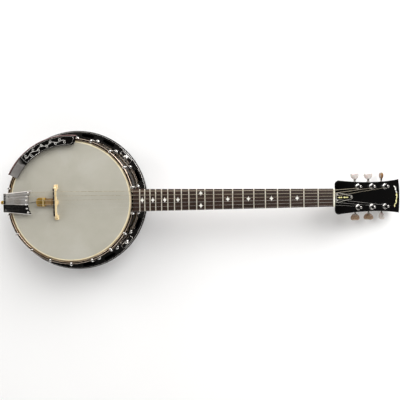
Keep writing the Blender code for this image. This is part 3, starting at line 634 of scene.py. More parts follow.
def build_thumb_screws(seat):
    """Winged thumb screws that clamp the resonator: collar, stem, and two rounded wings."""
    shells = [revolve(raised([(0, 0), (0.0050, 0), (0.0050, 0.0008), (0.0036, 0.0016),
                              (0.0030, 0.0034), (0.0018, 0.0040), (0, 0.0040)], seat), 36),
              bar((0, 0, seat - 0.0136), (0, 0, seat), 0.0022, 20)]
    for side in (1, -1):
        bm = bmesh.new()
        bmesh.ops.create_uvsphere(bm, u_segments=20, v_segments=12, radius=1.0)
        bm.transform(shift(0, side * 0.0031, seat + 0.0034) @ turn(-side * 22, "X")
                     @ Matrix.Diagonal((0.0010, 0.0030, 0.0021, 1.0)))
        shells.append(mesh_of(bm))
    screw = merged(shells)
    for number, angle in enumerate(both(THUMB_ANGLES), start=1):
        piece(f"thumb_screw_{number}", screw, "chrome",
              matrix=turn(angle) @ shift(THUMB_CIRCLE, 0) @ turn(35 * number))


def build_hooks():
    """Bracket hooks: a bent, flattened claw over the hoop, threads and a closed hex nut."""
    bend = arc((HOOK_CIRCLE - 0.0022, 0.1094), 0.0022, 0, 90, 6)
    path = [(HOOK_CIRCLE, 0.0665), (HOOK_CIRCLE, 0.0900)] + bend
    path += [(0.1452, 0.1116), (0.1436, 0.1115), (0.1426, 0.1111)]
    radii = [HOOK_ROD] * 2 + spaced(HOOK_ROD, HOOK_ROD + 0.00045, 6) + [0.0024, 0.0022, 0.0014]
    flats = [1.0] * 2 + spaced(1.0, 0.55, 6) + [0.50, 0.48, 0.45]
    claw = sweep([(x, 0, z) for x, z in path], radii, 20, flats)
    low, high, thread_depth = 0.0510, 0.0668, 0.00022
    thread = [(HOOK_ROD - thread_depth * (i % 2), z) for i, z in enumerate(spaced(low, high, 44))]
    threads = revolve([(0, low)] + thread + [(0, high)], 20, 20)
    seat = revolve([(0, 0.0642), (0.0042, 0.0642), (0.0042, 0.0656), (0.0030, 0.0660), (0, 0.0660)], 28)
    out = shift(HOOK_CIRCLE, 0)
    hook = merged([claw, moved(threads, out)])
    nut = merged([moved(hexagon(0.0044, 0.0530, 0.0645), out), moved(seat, out)])
    for number, angle in enumerate(both(HOOK_ANGLES), start=1):
        piece(f"bracket_hook_{number:02d}", hook, "chrome", replaces=(f"hook_{number:02d}",),
              matrix=turn(angle))
        piece(f"bracket_nut_{number:02d}", nut, "chrome", matrix=turn(angle))


def build_hidden():
    """Rim, tone ring, rods and the tailpiece's bracket keep their CAD shapes."""
    for name, look in {"wood_rim": "stained", "tone_ring": "cast_brass", "coordinator_rod": "steel",
                       "truss_rod": "steel", "tailpiece_bracket": "chrome"}.items():
        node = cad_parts[name]
        node.data.materials.clear()
        node.data.materials.append(MATERIALS[look])


# --- the neck -----------------------------------------------------------------------------
def board_top(x):
    return BOARD_Z - (x - BOARD_X) * NECK_SLOPE


def board_half(x):
    along = (x - BOARD_X) / (NUT_X - BOARD_X)
    return (BOARD_WIDTHS[0] + (BOARD_WIDTHS[1] - BOARD_WIDTHS[0]) * along) / 2


def fret_x(number):
    return NUT_X - SCALE_LENGTH * (1 - 2 ** (-number / 12))


def neck_depth(x):
    heel_start, heel_end = 0.1500, 0.2150
    slim = 0.0195 - 0.0040 * (x - heel_end) / (NUT_X - heel_end)
    if x >= heel_end:
        return slim
    rise = min(1.0, (heel_end - x) / (heel_end - heel_start))
    return slim + (0.0600 - slim) * rise ** 2 * (3 - 2 * rise)


def headstock_half(s):
    waist_s, shoulder, waist, tip = 0.1000, 0.0420, 0.0360, 0.0425
    if s < waist_s:
        half = waist + (shoulder - waist) * (1 - s / waist_s) ** 2
    else:
        half = waist + (tip - waist) * ((s - waist_s) / (HEADSTOCK_LENGTH - waist_s)) ** 2.2
    if s < HEADSTOCK_CORNER:
        half -= HEADSTOCK_CORNER - sqrt(HEADSTOCK_CORNER ** 2 - (HEADSTOCK_CORNER - s) ** 2)
    return half


def mirrored(half, tip):
    """A closed outline from its +y half and the point on its axis."""
    return half + [(tip, 0)] + [(s, -y) for s, y in reversed(half)]


def headstock_outline():
    stations = [HEADSTOCK_CORNER * (1 - cos(radians(a))) for a in range(0, 90, 9)]
    half = [(s, headstock_half(s)) for s in stations + spaced(HEADSTOCK_CORNER, HEADSTOCK_LENGTH, 40)]
    tip, rise = half[-1][1], 0.0025
    for i in range(1, 12):
        across = 1 - i / 12
        half.append((HEADSTOCK_LENGTH + rise * (1 - across ** 2), tip * across))
    return mirrored(half, HEADSTOCK_LENGTH + rise)


def on_headstock(name, mesh, look, body="body", matrix=Matrix.Identity(4), **more):
    piece(name, mesh, look, body, matrix=HEADSTOCK @ matrix, **more)


def post_holes(low):
    return [bar((s, y, low), (s, y, 0.0100), 0.0050, 28) for s in POST_S for y in (POST_Y, -POST_Y)]


def build_neck():
    """Heel, shaft and headstock, with a black face veneer on the headstock."""
    sections = []
    for x in spaced(0.1340, 0.2140, 32) + spaced(0.2250, HEADSTOCK_X + 0.0060, 24):
        top = board_top(x) - BOARD_THICKNESS - 0.0003
        half, depth = board_half(x) - 0.0002, neck_depth(x)
        sections.append([(x, half * c, top - depth * s) for c, s in arc((0, 0), 1, 0, 180, 28)])
    shaft = skin(sections, sharp=50)
    face = headstock_outline()
    back = [(s + 0.0110 * max(0.0, 1 - s / 0.0330), y * 0.985) for s, y in face]
    core = skin([[(s, y, -OVERLAY) for s, y in face], [(s, y, -HEADSTOCK_THICKNESS) for s, y in back]])
    on_headstock("headstock_core", boolean(core, post_holes(-0.0300)), "lacquer")
    volute = []
    for t in spaced(0, 1, 8):
        x, half, top = HEADSTOCK_X + 0.0010 + 0.0230 * t, 0.0208 * (1 - 0.30 * t), 0.0800 - 0.0050 * t
        depth = 0.0150 - 0.0055 * t + 0.0045 * sin(pi * t)
        volute.append([(x, half * c, top - depth * s) for c, s in arc((0, 0), 1, 0, 180, 16)])
    cutters = [
        bar((0, 0, 0.0200), (0, 0, 0.1300), HEAD_RADIUS + 0.0003, 192),
        bar((0, 0, 0.0959), (0, 0, 0.1300), HOOP_RADII[1] + 0.0004, 192),
        box((NUT_X - 0.0003, -0.0300, 0.0820), (HEADSTOCK_X, 0.0300, 0.0950)),
        bar((0.1300, 0, ROD_Z), (0.1565, 0, ROD_Z), 0.0034),
    ]
    wood = boolean(boolean(shaft, [skin(volute)], "UNION"), cutters, sharp=32)
    piece("neck_wood", wood, "mahogany", replaces=("neck",))
    cap = [[(x, y * 0.90, z - 0.0011) for x, y, z in section[11:18]]
           + [(x, y * 0.90, z + 0.0002) for x, y, z in reversed(section[11:18])]
           for section in sections[4:9]]
    piece("heel_cap", skin(cap), "white_plastic")
    veneer = boolean(prism(face, -OVERLAY + 0.00002, 0, 0.0006), post_holes(-0.0100))
    on_headstock("headstock_veneer", veneer, "lacquer")


def build_fingerboard():
    """Rosewood board with eased edges."""
    sections = []
    ease = 0.0006
    for x in spaced(BOARD_X, NUT_X - 0.0003, 30):
        half, top = board_half(x), board_top(x)
        ring = [(-half, top - BOARD_THICKNESS), (half, top - BOARD_THICKNESS)]
        ring += arc((half - ease, top - ease), ease, 0, 90, 3)
        ring += arc((-half + ease, top - ease), ease, 90, 180, 3)
        sections.append([(x, y, z) for y, z in ring])
    piece("fingerboard_wood", skin(sections, sharp=50), "rosewood", replaces=("fingerboard",))


def build_frets():
    """Crowned fret wires with bevelled ends."""
    for number in range(1, FRETS + 1):
        x = fret_x(number)
        half, top = board_half(x) - 0.0001, board_top(x)
        sections = []
        for y, size in ((-half, 0.25), (-half + 0.0005, 0.85), (-half + 0.0012, 1.0),
                        (half - 0.0012, 1.0), (half - 0.0005, 0.85), (half, 0.25)):
            crown = [(x + 0.00115 * c, y, top + 0.0009 * size * s) for c, s in arc((0, 0), 1, 0, 180, 8)]
            sections.append(crown + [(x + side * 0.0008, y, top - 0.0006) for side in (-1, 1)])
        piece(f"fret_{number:02d}", skin(sections, sharp=60), "fret")


def star_outline(reach_x, reach_y, waist):
    """Four points joined by hollow curves."""
    points = []
    tips = [(reach_x, 0), (0, reach_y), (-reach_x, 0), (0, -reach_y)]
    for (ax, ay), (bx, by) in zip(tips, tips[1:] + tips[:1]):
        for i in range(6):
            t = i / 6
            a, m, b = (1 - t) ** 2, 2 * t * (1 - t) * waist, t * t
            points.append((a * ax + m * (ax + bx) + b * bx, a * ay + m * (ay + by) + b * by))
    return points


def build_inlays():
    """Pearl star inlays between the frets, two at the twelfth, and dots in the board's side."""
    places = [(n, 0.0) for n in (3, 5, 7, 9, 15, 17, 19, 21)] + [(12, 0.0145), (12, -0.0145)]
    for index, (number, y) in enumerate(places, start=1):
        x = (fret_x(number) + fret_x(number - 1)) / 2
        piece(f"inlay_star_{index:02d}", prism(star_outline(0.0052, 0.0068, 0.20), -0.0012, 0.00008),
              "pearl", matrix=shift(x, y, board_top(x)) @ turn(NECK_ANGLE, "Y"))
    for number in (3, 5, 7, 9, 12, 15, 17, 19):
        x = (fret_x(number) + fret_x(number - 1)) / 2
        half, z = board_half(x), board_top(x) - 0.0024
        dot = bar((x, half - 0.0010, z), (x, half + 0.00008, z), 0.0011, 18)
        piece(f"side_dot_{number:02d}", dot, "white_plastic", slot="bone")


def string_across(number):
    """Place of a string in units of the string spacing; 1 is the lightest, on -Y."""
    return number - 3.5


def build_nut():
    """Bone nut with one slot for each string and rounded shoulders."""
    half, ease, lead_in = BOARD_WIDTHS[1] / 2, 0.0012, 0.00012
    low, top, floor = 0.0823, board_top(NUT_X) + 0.0014, board_top(NUT_X) + 0.0012
    outline = [(-half, low), (half, low)] + arc((half - ease, top - ease), ease, 0, 90, 3)
    for number in range(6, 0, -1):
        y = string_across(number) * NUT_SPACING
        r = GAUGES[number - 1] / 2 + 0.00012
        outline += [(y + r + lead_in, top)] + arc((y, floor + 0.8 * r), r, -10, -170, 4)
        outline += [(y - r - lead_in, top)]
    outline += arc((-half + ease, top - ease), ease, 90, 180, 3)
    sections = []
    for x, inset in ((0, 0.0004), (0.0004, 0), (NUT_THICKNESS - 0.0008, 0),
                     (NUT_THICKNESS - 0.0003, 0.0005)):
        sections.append([(NUT_X + x, y, z - (inset if z > low + 0.002 else 0)) for y, z in outline])
    piece("bone_nut", skin(sections, sharp=50), "bone", replaces=("nut",))


def bell_outline(length, wide, narrow, start):
    """A bell: broad at the nut, pulled in, with a rounded end."""
    side = [(start + (length - narrow) * t, narrow + (wide - narrow) * (0.5 + 0.5 * cos(pi * t)) ** 0.9)
            for t in spaced(0, 1, 16)]
    return mirrored(side + arc((start + length - narrow, 0), narrow, 78, 6, 6), start + length)


def build_truss_cover():
    """Bell-shaped cover: black over a white border, two screws and plain lozenges."""
    border = prism(bell_outline(0.0462, 0.0118, 0.0052, 0.0022), 0.0002, 0.0011, 0.0003, 2)
    on_headstock("cover_border", border, "white_plastic", replaces=("truss_rod_cover",))
    face = prism(bell_outline(0.0448, 0.0111, 0.0046, 0.0028), 0.0009, 0.0016, 0.0003, 2)
    on_headstock("cover_face", face, "plastic")
    lozenges = ((0.0120, 0.0062, 0.0018), (0.0172, 0.0022, 0.0026), (0.0255, 0.0046, 0.0024),
                (0.0325, 0.0040, 0.0020))
    for index, (s, reach_s, reach_y) in enumerate(lozenges, start=1):
        lozenge = prism(star_outline(reach_s, reach_y, 0.40), 0.0014, 0.00166)
        on_headstock(f"cover_lozenge_{index}", lozenge, "gold_inlay", slot="brass", matrix=shift(s, 0))
    for index, (s, y) in enumerate(((0.0062, 0.0075), (0.0062, -0.0075), (0.0440, 0.0)), start=1):
        head = revolve([(0, 0.0013), (0.0014, 0.0013), (0.0013, 0.0018), (0.0008, 0.0021),
                        (0, 0.0022)], 24)
        slot_cut = box((-0.0002, -0.0020, 0.0019), (0.0002, 0.0020, 0.0030))
        on_headstock(f"cover_screw_{index}", boolean(head, [slot_cut]), "chrome",
                     matrix=shift(s, y) @ turn(degrees(0.5 * index)))


def leaf_outline(length, width):
    """A leaf along x with its tip bent to one side."""
    top, bottom = [], []
    for t in spaced(0, 1, 10):
        half, centre = width / 2 * sin(pi * t) ** 0.8, width * 0.25 * sin(pi * t)
        top.append((length * (t - 0.5), centre + half))
        bottom.append((length * (t - 0.5), centre - half))
    return top + bottom[-2:0:-1]


def build_ornament():
    """A plain arched spray of pearl leaves inlaid across the headstock's tip."""
    arch_s, arch_radius = 0.1325, 0.0470
    leaves = ((-31, 0.0080, 0.0034, 30), (-24, 0.0062, 0.0026, -28), (-15.5, 0.0092, 0.0040, 18),
              (-6, 0.0070, 0.0030, -20), (3, 0.0100, 0.0046, 8), (13, 0.0070, 0.0030, 24),
              (22, 0.0088, 0.0038, -16), (30.5, 0.0076, 0.0032, 26))
    for index, (angle, length, width, lean) in enumerate(leaves, start=1):
        s, y = polar(arch_radius, angle)
        on_headstock(f"ornament_leaf_{index}", prism(leaf_outline(length, width), -0.0006, 0.00007),
                     "gold_inlay" if index < 6 else "pearl",
                     matrix=shift(arch_s + s, y) @ turn(angle + 90 + lean))


# --- tuners --------------------------------------------------------------------------------
def build_tuners():
    under = -HEADSTOCK_THICKNESS - 0.0003
    for side in (1, -1):
        def shaft_bar(near, far, *size):
            return bar((SHAFT_OFFSET, side * near, -SHAFT_DEPTH),
                       (SHAFT_OFFSET, side * far, -SHAFT_DEPTH), *size)

        case = box((-0.0085, -0.0095, under - 0.0122), (0.0115, 0.0095, under), 0.0024, 4)
        case = boolean(case, [shaft_bar(0.0090, 0.0130, 0.0038, 28, 0.0006)], "UNION")
        case = merged([boolean(case, [shaft_bar(0.0070, 0.0200, 0.0023)])])
        lug = prism(pill(0, -side * 0.0105, 0.0066, 0.0110), under - 0.0016, under - 0.0001, 0.0004)
        screw = revolve(raised([(0, -0.0030), (0.0012, -0.0028), (0.0021, -0.0018), (0.0021, -0.0014),
                                (0, -0.0014)], under), 24)
        moved(screw, shift(0, -side * 0.0130))
        for index, s in enumerate(POST_S):
            number = index + (1 if side == 1 else 4)
            spot = shift(s, side * POST_Y)
            on_headstock(f"tuner_{number}_case", case, "chrome", matrix=spot,
                         replaces=(f"tuner_{number}_housing",))
            on_headstock(f"tuner_{number}_lug", lug, "chrome", matrix=spot)
            on_headstock(f"tuner_{number}_screw", screw, "steel", slot="chrome", matrix=spot)
            build_bushing(number, spot @ turn(14 + 37 * index))
            build_post(number, spot, side)
            build_button(number, side, s)


def build_bushing(number, spot):
    """Washer, hex nut and sleeve round the post on the headstock's face."""
    washer = revolve([(0.0036, 0.0003), (0.0066, 0.0003), (0.0071, 0.0007), (0.0068, 0.0012),
                      (0.0060, 0.0015), (0.0036, 0.0015)], 48)
    nut = boolean(hexagon(0.0060, 0.0012, 0.0046, 0.0009), [bar((0, 0, 0), (0, 0, 0.0100), 0.0040, 32)])
    r = POST_RADIUS + 0.0003
    sleeve = revolve([(r, -0.0152), (0.0045, -0.0152), (0.0045, 0.0046), (0.0042, 0.0052),
                      (r + 0.0002, 0.0054), (r, 0.0050)], 40)
    on_headstock(f"tuner_{number}_bushing", merged([washer, nut, sleeve]), "chrome", matrix=spot)


def string_of_post(number):
    """Strings 6, 5, 4 go to tuners 1, 2, 3 on +Y; strings 1, 2, 3 to tuners 4, 5, 6."""
    return 7 - number if number <= 3 else number - 3


def build_post(number, spot, side):
    """Waisted capstan with a cross hole; its string windings turn with it."""
    r, waist, hole_z, top = POST_RADIUS, POST_WAIST, 0.0086, POST_TOP
    profile = [(0, -0.0240), (r, -0.0240), (r, 0.0054), (r - 0.0002, 0.0058), (waist + 0.0001, 0.0064),
               (waist, 0.0076), (waist + 0.0001, 0.0088), (r - 0.0002, 0.0098), (r, 0.0103),
               (r, top - 0.0006), (r - 0.0005, top - 0.0001), (r - 0.0012, top), (0, top)]
    hole = bar((0, -0.0060, hole_z), (0, 0.0060, hole_z), 0.0008, 20)
    dimple = bar((0, 0, top - 0.0010), (0, 0, top + 0.0010), 0.0010, 20)
    body = f"tuner_{number}_post"
    on_headstock(f"tuner_{number}_capstan", boolean(revolve(profile, 40), [hole, dimple]), "chrome", body,
                 spot @ turn(25 * number), replaces=(body,))
    string = string_of_post(number)
    gauge = GAUGES[string - 1]
    turns = 3.2 if gauge < 0.0005 else 2.2
    steps = int(turns * 28)
    points = []
    for i in range(steps + 1):
        x, y = polar(waist + STRING_GAP + gauge / 2, side * 360 * turns * i / steps)
        points.append((x, y, 0.0066 + 0.0020 * i / steps))
    tail = [(0.0012 * k, 0.0002 * k, hole_z) for k in (2.3, 3.1, 3.8)]
    winding = merged([sweep(line, gauge / 2, 10) for line in (points, tail)])
    on_headstock(f"winding_{string}", winding, "wound_coil" if gauge > WOUND_FROM else "plain_wire", body,
                 spot @ turn(40 * number))


def build_button(number, side, s):
    """Pearl button, kidney-shaped with a dished face, on its chrome shaft."""
    bm = bmesh.new()
    bmesh.ops.create_uvsphere(bm, u_segments=48, v_segments=28, radius=1.0)
    for vert in bm.verts:
        x, y, z = vert.co
        reach = (abs(x) ** 2.3 + abs(y) ** 2.3) ** (1 / 2.3) if abs(x) + abs(y) > 1e-6 else 0
        plane = sqrt(x * x + y * y)
        if reach > 1e-6:
            x, y = x * plane / reach * 1.04, y * plane / reach * 1.04
        flat = 1 - 0.30 * exp(-((x * x + y * y) / 0.30))
        shoulder = -0.10 * exp(-((x / 0.35) ** 2)) if y * side > 0 else 0.0
        vert.co = (0.0110 * x * (1 + 0.20 * y * side),
                   0.0084 * (y + side * shoulder * abs(y)) + side * (BUTTON_Y - POST_Y),
                   0.0042 * z * flat)
    collars = ((-0.0055, 0.0225, 0.0020), (0.0132, 0.0148, 0.0030, 28, 0.0004),
               (0.0150, 0.0196, 0.0034, 32, 0.0010))
    shaft = merged([bar((0, side * near, 0), (0, side * far, 0), *size) for near, far, *size in collars])
    angle, look = BUTTONS[number]
    spot = shift(s + SHAFT_OFFSET, side * POST_Y, -SHAFT_DEPTH) @ turn(angle, "Y")
    body = f"tuner_{number}_button"
    on_headstock(f"tuner_{number}_grip", mesh_of(bm, 0), look, body, spot, replaces=(body,))
    on_headstock(f"tuner_{number}_shaft", shaft, "chrome", body, spot)


# --- bridge, tailpiece, mute, armrest -----------------------------------------------------------
def build_bridge():
    """Maple bridge on three feet, tapering to an ebony cap that is notched for the strings."""
    foot, top_half, low, high = 0.04075, 0.0320, HEAD_Z + 0.0003, 0.1244
    outline = [(-foot, low), (-foot + 0.0095, low)]
    for centre in (-0.0177, 0.0177):
        for c, s in arc((0, 0), 1, 170, 10, 16):
            outline.append((centre + 0.0128 * c, low + 0.0072 * s ** 0.7))
        if centre < 0:
            outline += [(-0.0042, low), (0.0042, low)]
    step = low + 0.0030
    side = [(foot, step)]
    for t in (0.15, 0.3, 0.45, 0.6, 0.75, 0.9, 1.0):
        side.append((foot - (foot - top_half) * t - 0.0030 * sin(pi * t), step + (high - step) * t))
    outline += [(foot - 0.0095, low), (foot, low)] + side + [(-y, z) for y, z in reversed(side)]
    sections = []
    for sign, inset in ((-1, 0.0004), (-1, 0), (1, 0), (1, 0.0004)):
        ring = []
        for y, z in outline:
            rise = (z - low) / (high - low)
            ring.append((sign * (0.0038 - 0.0026 * rise + inset), y * (1 - inset * 6),
                         z - (inset if rise > 0.9 else 0)))
        sections.append(ring)
    place = shift(BRIDGE_X, STRING_CENTRE_Y) @ turn(BRIDGE_SKEW)
    piece("bridge_maple", skin(sections, sharp=45), "maple", replaces=("bridge",), matrix=place)
    half, low, top, ease = 0.0318, high + 0.00002, BRIDGE_TOP_Z - 0.0004, 0.0008
    cap = [(-half, low), (half, low), (half, top - ease), (half - ease, top)]
    for number in range(6, 0, -1):
        y, r = string_across(number) * BRIDGE_SPACING, GAUGES[number - 1] / 2 + 0.0001
        floor = BRIDGE_TOP_Z - 0.0005
        cap += [(y + r + 0.0002, top), (y + r * 0.7, floor + r * 0.4), (y, floor),
                (y - r * 0.7, floor + r * 0.4), (y - r - 0.0002, top)]
    cap += [(-half + ease, top), (-half, top - ease)]
    sections = [[(x, y, z) for y, z in cap] for x in (-0.0016, 0.0016)]
    piece("bridge_cap", skin(sections, sharp=40), "ebony", matrix=place)


def tail_front(across):
    """x of the tailpiece's scalloped, hollow front edge; across runs from -1 to 1."""
    hollow = TAIL_FRONT_X - TAIL_SCALLOP * (1 - across ** 2)
    teeth = 0.0016 * abs(sin(3.5 * pi * (across + 1)))
    return hollow - teeth * (1 - abs(across) ** 6)


def tail_crown(across):
    """Height of the fluted top: lapped facets above the fold line, a smooth fall below it."""
    fold, lap = -0.16, 0.232
    if across > fold:
        step = (across - fold) / lap
        part = step - int(step)
        groove = 0.00035 if part < 0.10 else 0.0
        return 0.0008 + (0.00098 + 0.00012 * (int(step) % 3)) * (1 - part) - groove
    fall = (fold - across) / (fold + 1)
    return 0.0019 - 0.0009 * fall + 0.00010 * cos(7 * pi * fall)


def tail_surface(u, across):
    """A point of the plate's underside; u runs from its back edge to its front."""
    half = TAIL_HALF[0] + (TAIL_HALF[1] - TAIL_HALF[0]) * u
    edge = max(0.0, abs(across) - 0.93) / 0.07
    return (TAIL_BACK_X + (tail_front(across) - TAIL_BACK_X) * u, STRING_CENTRE_Y + half * across,
            TAIL_Z + tail_crown(across) - 0.0012 * edge ** 2 + 0.0006 * max(0.0, 1 - u / 0.07))


def build_tailpiece():
    """Flared, fluted plate with a scalloped front and rolled sides, six pins and its screws."""
    rows, columns, thickness = 84, 44, Vector((0, 0, 0.0013))
    bm = bmesh.new()
    grid = [[Vector(tail_surface(u, across)) for across in spaced(-1, 1, rows)]
            for u in spaced(0, 1, columns)]
    top = [[bm.verts.new(point + thickness) for point in line] for line in grid]
    under = [[bm.verts.new(point) for point in line] for line in grid]
    for i in range(columns):
        for j in range(rows):
            for sheet in (top, under):
                bm.faces.new((sheet[i][j], sheet[i + 1][j], sheet[i + 1][j + 1], sheet[i][j + 1]))
        for j in (0, rows):
            bm.faces.new((top[i][j], under[i][j], under[i + 1][j], top[i + 1][j]))
    for i in (0, columns):
        for j in range(rows):
            bm.faces.new((top[i][j], top[i][j + 1], under[i][j + 1], under[i][j]))
    piece("tailpiece_plate", mesh_of(bm, 40), "chrome", "tailpiece", replaces=("tailpiece",))
    flap = box((TAIL_BACK_X - 0.0022, STRING_CENTRE_Y - TAIL_HALF[0], 0.1160),
               (TAIL_BACK_X + 0.0002, STRING_CENTRE_Y + TAIL_HALF[0], 0.1208), 0.0010, 4)
    piece("tailpiece_flap", flap, "chrome", "tailpiece")
    for number in range(1, 7):
        y = string_across(number) * TAIL_SPACING
        across = y / TAIL_HALF[1]
        pin = revolve([(0, -0.0010), (0.0017, -0.0010), (0.0019, 0.0002), (0.0021, 0.0010),
                       (0.0019, 0.0017), (0.0012, 0.0022), (0, 0.0024)], 28)
        piece(f"string_pin_{number}", pin, "chrome", "tailpiece",
              matrix=shift(tail_front(across) - PIN_SETBACK, STRING_CENTRE_Y + y,
                           0.1208 + tail_crown(across) * 0.6))
    for index, (x, y) in enumerate(((-0.1440, 0.0165), (-0.1360, 0.0140), (-0.1440, -0.0165)), start=1):
        head = revolve([(0, 0), (0.0021, 0), (0.0021, 0.0007), (0.0016, 0.0013), (0, 0.0015)], 28)
        cut = box((-0.0003, -0.0030, 0.0010), (0.0003, 0.0030, 0.0030))
        piece(f"tailpiece_screw_{index}", boolean(head, [cut]), "steel", "tailpiece",
              matrix=shift(x, STRING_CENTRE_Y + y, 0.1218) @ turn(degrees(0.7 * index)))


def build_tail_nut():
    """Round knurled thumb nut in gold plate."""
    sections = []
    for z in spaced(0, 0.0136, 30):
        collar = 0.0031 if z < 0.0040 else 0.0026 if z < 0.0058 else 0.00005
        r = max(collar, sqrt(max(0.0, 0.0044 ** 2 - (z - 0.0091) ** 2)))
        knurl = 0.00018 if 0.0066 < z < 0.0116 else 0.0
        sections.append([(*polar(r + knurl * (k % 2), 9 * k), z) for k in range(40)])
    piece("tailpiece_thumb_nut", skin(sections, sharp=30), "gold", replaces=("tailpiece_nut",),
          matrix=shift(-0.1530, STRING_CENTRE_Y, THUMB_NUT_Z) @ turn(-90, "Y"))


def build_mute():
    """Sliding mute: rounded brass body with a ridge in lighter brass, a painted highlight strip, ribbed
    jaw, steel pull wire.
    """
    low, high, half, back, front, ease = HEAD_Z + 0.0012, 0.1212, 0.0099, -0.0758, -0.0550, 0.0010
    place = shift(0, -0.0015)
    outline = [(back + 0.0052 * (1 + c), half * s) for c, s in arc((0, 0), 1, 90, 270, 15)]
    outline += [(front - ease, -half), (front, -half + ease), (front, half - ease), (front - ease, half)]
    body = prism(outline, low, high - 0.0014, 0.0012, 4)
    piece("mute_body", body, "brass", "mute", replaces=("mute",), matrix=place)
    x, z = -0.0590, high - 0.0022
    ridge = bar((x, -half + 0.0006, z), (x, half - 0.0006, z), 0.0022, 40, 0.0008)
    # The ridge's lighter brass is a painted highlight strip.
    piece("mute_ridge", ridge, "brass_painted_highlight", "mute", matrix=place)
    ribs = [box((-0.0549, -0.0079, low + 0.0010), (-0.0378, 0.0079, 0.1190), 0.0010)]
    ribs += [bar((x, -0.0078, 0.1190), (x, 0.0078, 0.1190), 0.0009, 20, 0.0003)
             for x in spaced(-0.0535, -0.0395, 5)]
    piece("mute_jaw", merged(ribs), "mute_pad", "mute", matrix=place)
    wire = [(-0.0740, 0, 0.1145), (-0.0790, 0.0002, 0.1146), (-0.0850, -0.0006, 0.1148),
            (-0.0910, -0.0016, 0.1147), (-0.0960, -0.0020, 0.1145), (-0.1000, -0.0020, 0.1145)]
    piece("mute_wire", sweep(wire, 0.0007, 14), "dark_chrome", "mute", "steel", matrix=place)


def armrest_profile(angle, r_in, low, high):
    """Plate section; its left quarter leans outwards."""
    r_out, edge = 0.1512, 0.0007
    lean = min(1.0, max(0.0, (angle - 138) / 5)) * 0.0021
    drop = high - lean
    tops = [r_in + edge, r_in + edge * 1.6, (r_in + r_out) / 2, r_out - edge * 1.6, r_out - edge]
    profile = [(r_in, low), (r_in, high - edge), (r_in + edge * 0.3, high - edge * 0.3)]
    profile += [(r, high - lean * max(0.0, (r - 0.1290) / 0.0222)) for r in tops]
    return profile + [(r_out - edge * 0.3, drop - edge * 0.3), (r_out, drop - edge),
                      (r_out, low - lean * 0.2)]


def swung(profile, angle):
    """A (radius, height) profile stood up at an angle round the pot."""
    return [(*polar(r, angle), z) for r, z in profile]


def build_armrest():
    """Gloss black curved plate with an inset silver line, a plain scroll and a chrome lip whose dark rose
    tint is a painted reflection.
    """
    low, high = 0.1174, 0.1204
    first, round_by, last = 83.3, 5.4, 154.7
    stations = [first + round_by * (1 - cos(radians(a))) for a in range(0, 91, 9)]
    stations += spaced(first + round_by, last, 90)[1:] + [155.0, 155.3, 155.5, 155.7]
    sections = []
    for a in stations:
        corner = min(1.0, max(0.0, (first + round_by - a) / round_by))
        r_in = 0.1282 + 0.0120 * (1 - sqrt(1 - corner ** 2)) + 0.0024 * max(0.0, a - last)
        sections.append(swung(armrest_profile(a, r_in, low, high), a))
    piece("armrest_plate", skin(sections, sharp=30), "black_chrome", replaces=("armrest",))
    lip = arc((0.1500, 0.1186), 0.0024, 74, -60, 8)
    lip += [(0.1526, 0.1130), (0.1524, 0.1122), (0.1518, 0.1122), (0.1516, 0.1130),
            (0.1508, 0.1172), (0.1500, 0.1186)]
    # The lip's dark rose tint is a painted reflection.
    piece("armrest_lip", skin([swung(lip, a) for a in spaced(first, 155.7, 96)]), "chrome_painted_rose_reflection")
    line = sweep_closed(border_line(0.1303, 0.1484, 85.6, 137.0), 0.00030, high)
    piece("armrest_inlay_line", line, "chrome")
    build_scroll(high + 0.00005)
    for index, angle in enumerate((99.75, 144.4), start=1):
        strap = merged([box((0.1508, -0.0040, 0.0693), (0.1525, 0.0040, 0.1186), 0.0005, 2),
                        box((0.1508, -0.0040, 0.0693), (0.1545, 0.0040, 0.0713), 0.0005, 2)])
        piece(f"armrest_strap_{index}", strap, "chrome", matrix=turn(angle))
        head = bar((0.1524, 0, 0.1000), (0.1536, 0, 0.1000), 0.0024, 28, 0.0005)
        piece(f"armrest_screw_{index}", head, "steel", matrix=turn(angle))


def border_line(r_in, r_out, start, end):
    """Closed border just inside the plate's edge, broadly rounded at its inner right corner."""
    corner = 4.2
    points = [polar(r_out, a) for a in spaced(start, end, 72)]
    points += [polar(r, end) for r in spaced(r_out, r_in, 6)[1:-1]]
    points += [polar(r_in, a) for a in spaced(end, start + corner, 72)[:-1]]
    return points + [polar(r_in + 0.0100 * (1 - c), start + corner * (1 - s))
                     for c, s in arc((0, 0), 1, 0, 90, 9)]


def sweep_closed(points, radius, z):
    """A thin half-buried line that closes on itself."""
    sections = []
    for i, (x, y) in enumerate(points):
        ax, ay = points[(i + 1) % len(points)]
        bx, by = points[i - 1]
        size = sqrt((ax - bx) ** 2 + (ay - by) ** 2)
        nx, ny = (by - ay) / size, (ax - bx) / size
        sections.append([(x + nx * c, y + ny * c, z + 0.6 * s)
                         for c, s in arc((0, 0), radius, 0, 315, 7)])
    return skin(sections, closed=True, sharp=0)


def build_scroll(z):
    """Plain vine scroll: a running wave with curled tendrils, nothing lettered."""
    centre = 0.1392
    steps = spaced(0, 1, 120)
    stem = [(*polar(centre + 0.0024 * sin(8 * pi * t) * (0.5 + 0.5 * sin(pi * t)), 92.5 + 43 * t), z)
            for t in steps]
    parts = [sweep(stem, [0.00030 + 0.00030 * abs(sin(7 * pi * t)) for t in steps], 8, 0.5, 0)]
    steps = spaced(0, 1, 28)
    for k in range(10):
        flip = 1 if k % 2 else -1
        curl = []
        for t in steps:
            off, aside = polar(0.0034 * (1 - 0.72 * t), 378 * t)
            angle = 93.4 + 4.4 * k + degrees(aside / centre)
            curl.append((*polar(centre + flip * (0.0036 - off), angle), z))
        parts.append(sweep(curl, [0.00058 - 0.000288 * t for t in steps], 8, 0.5, 0))
    piece("armrest_scroll", merged(parts), "silver_paint")


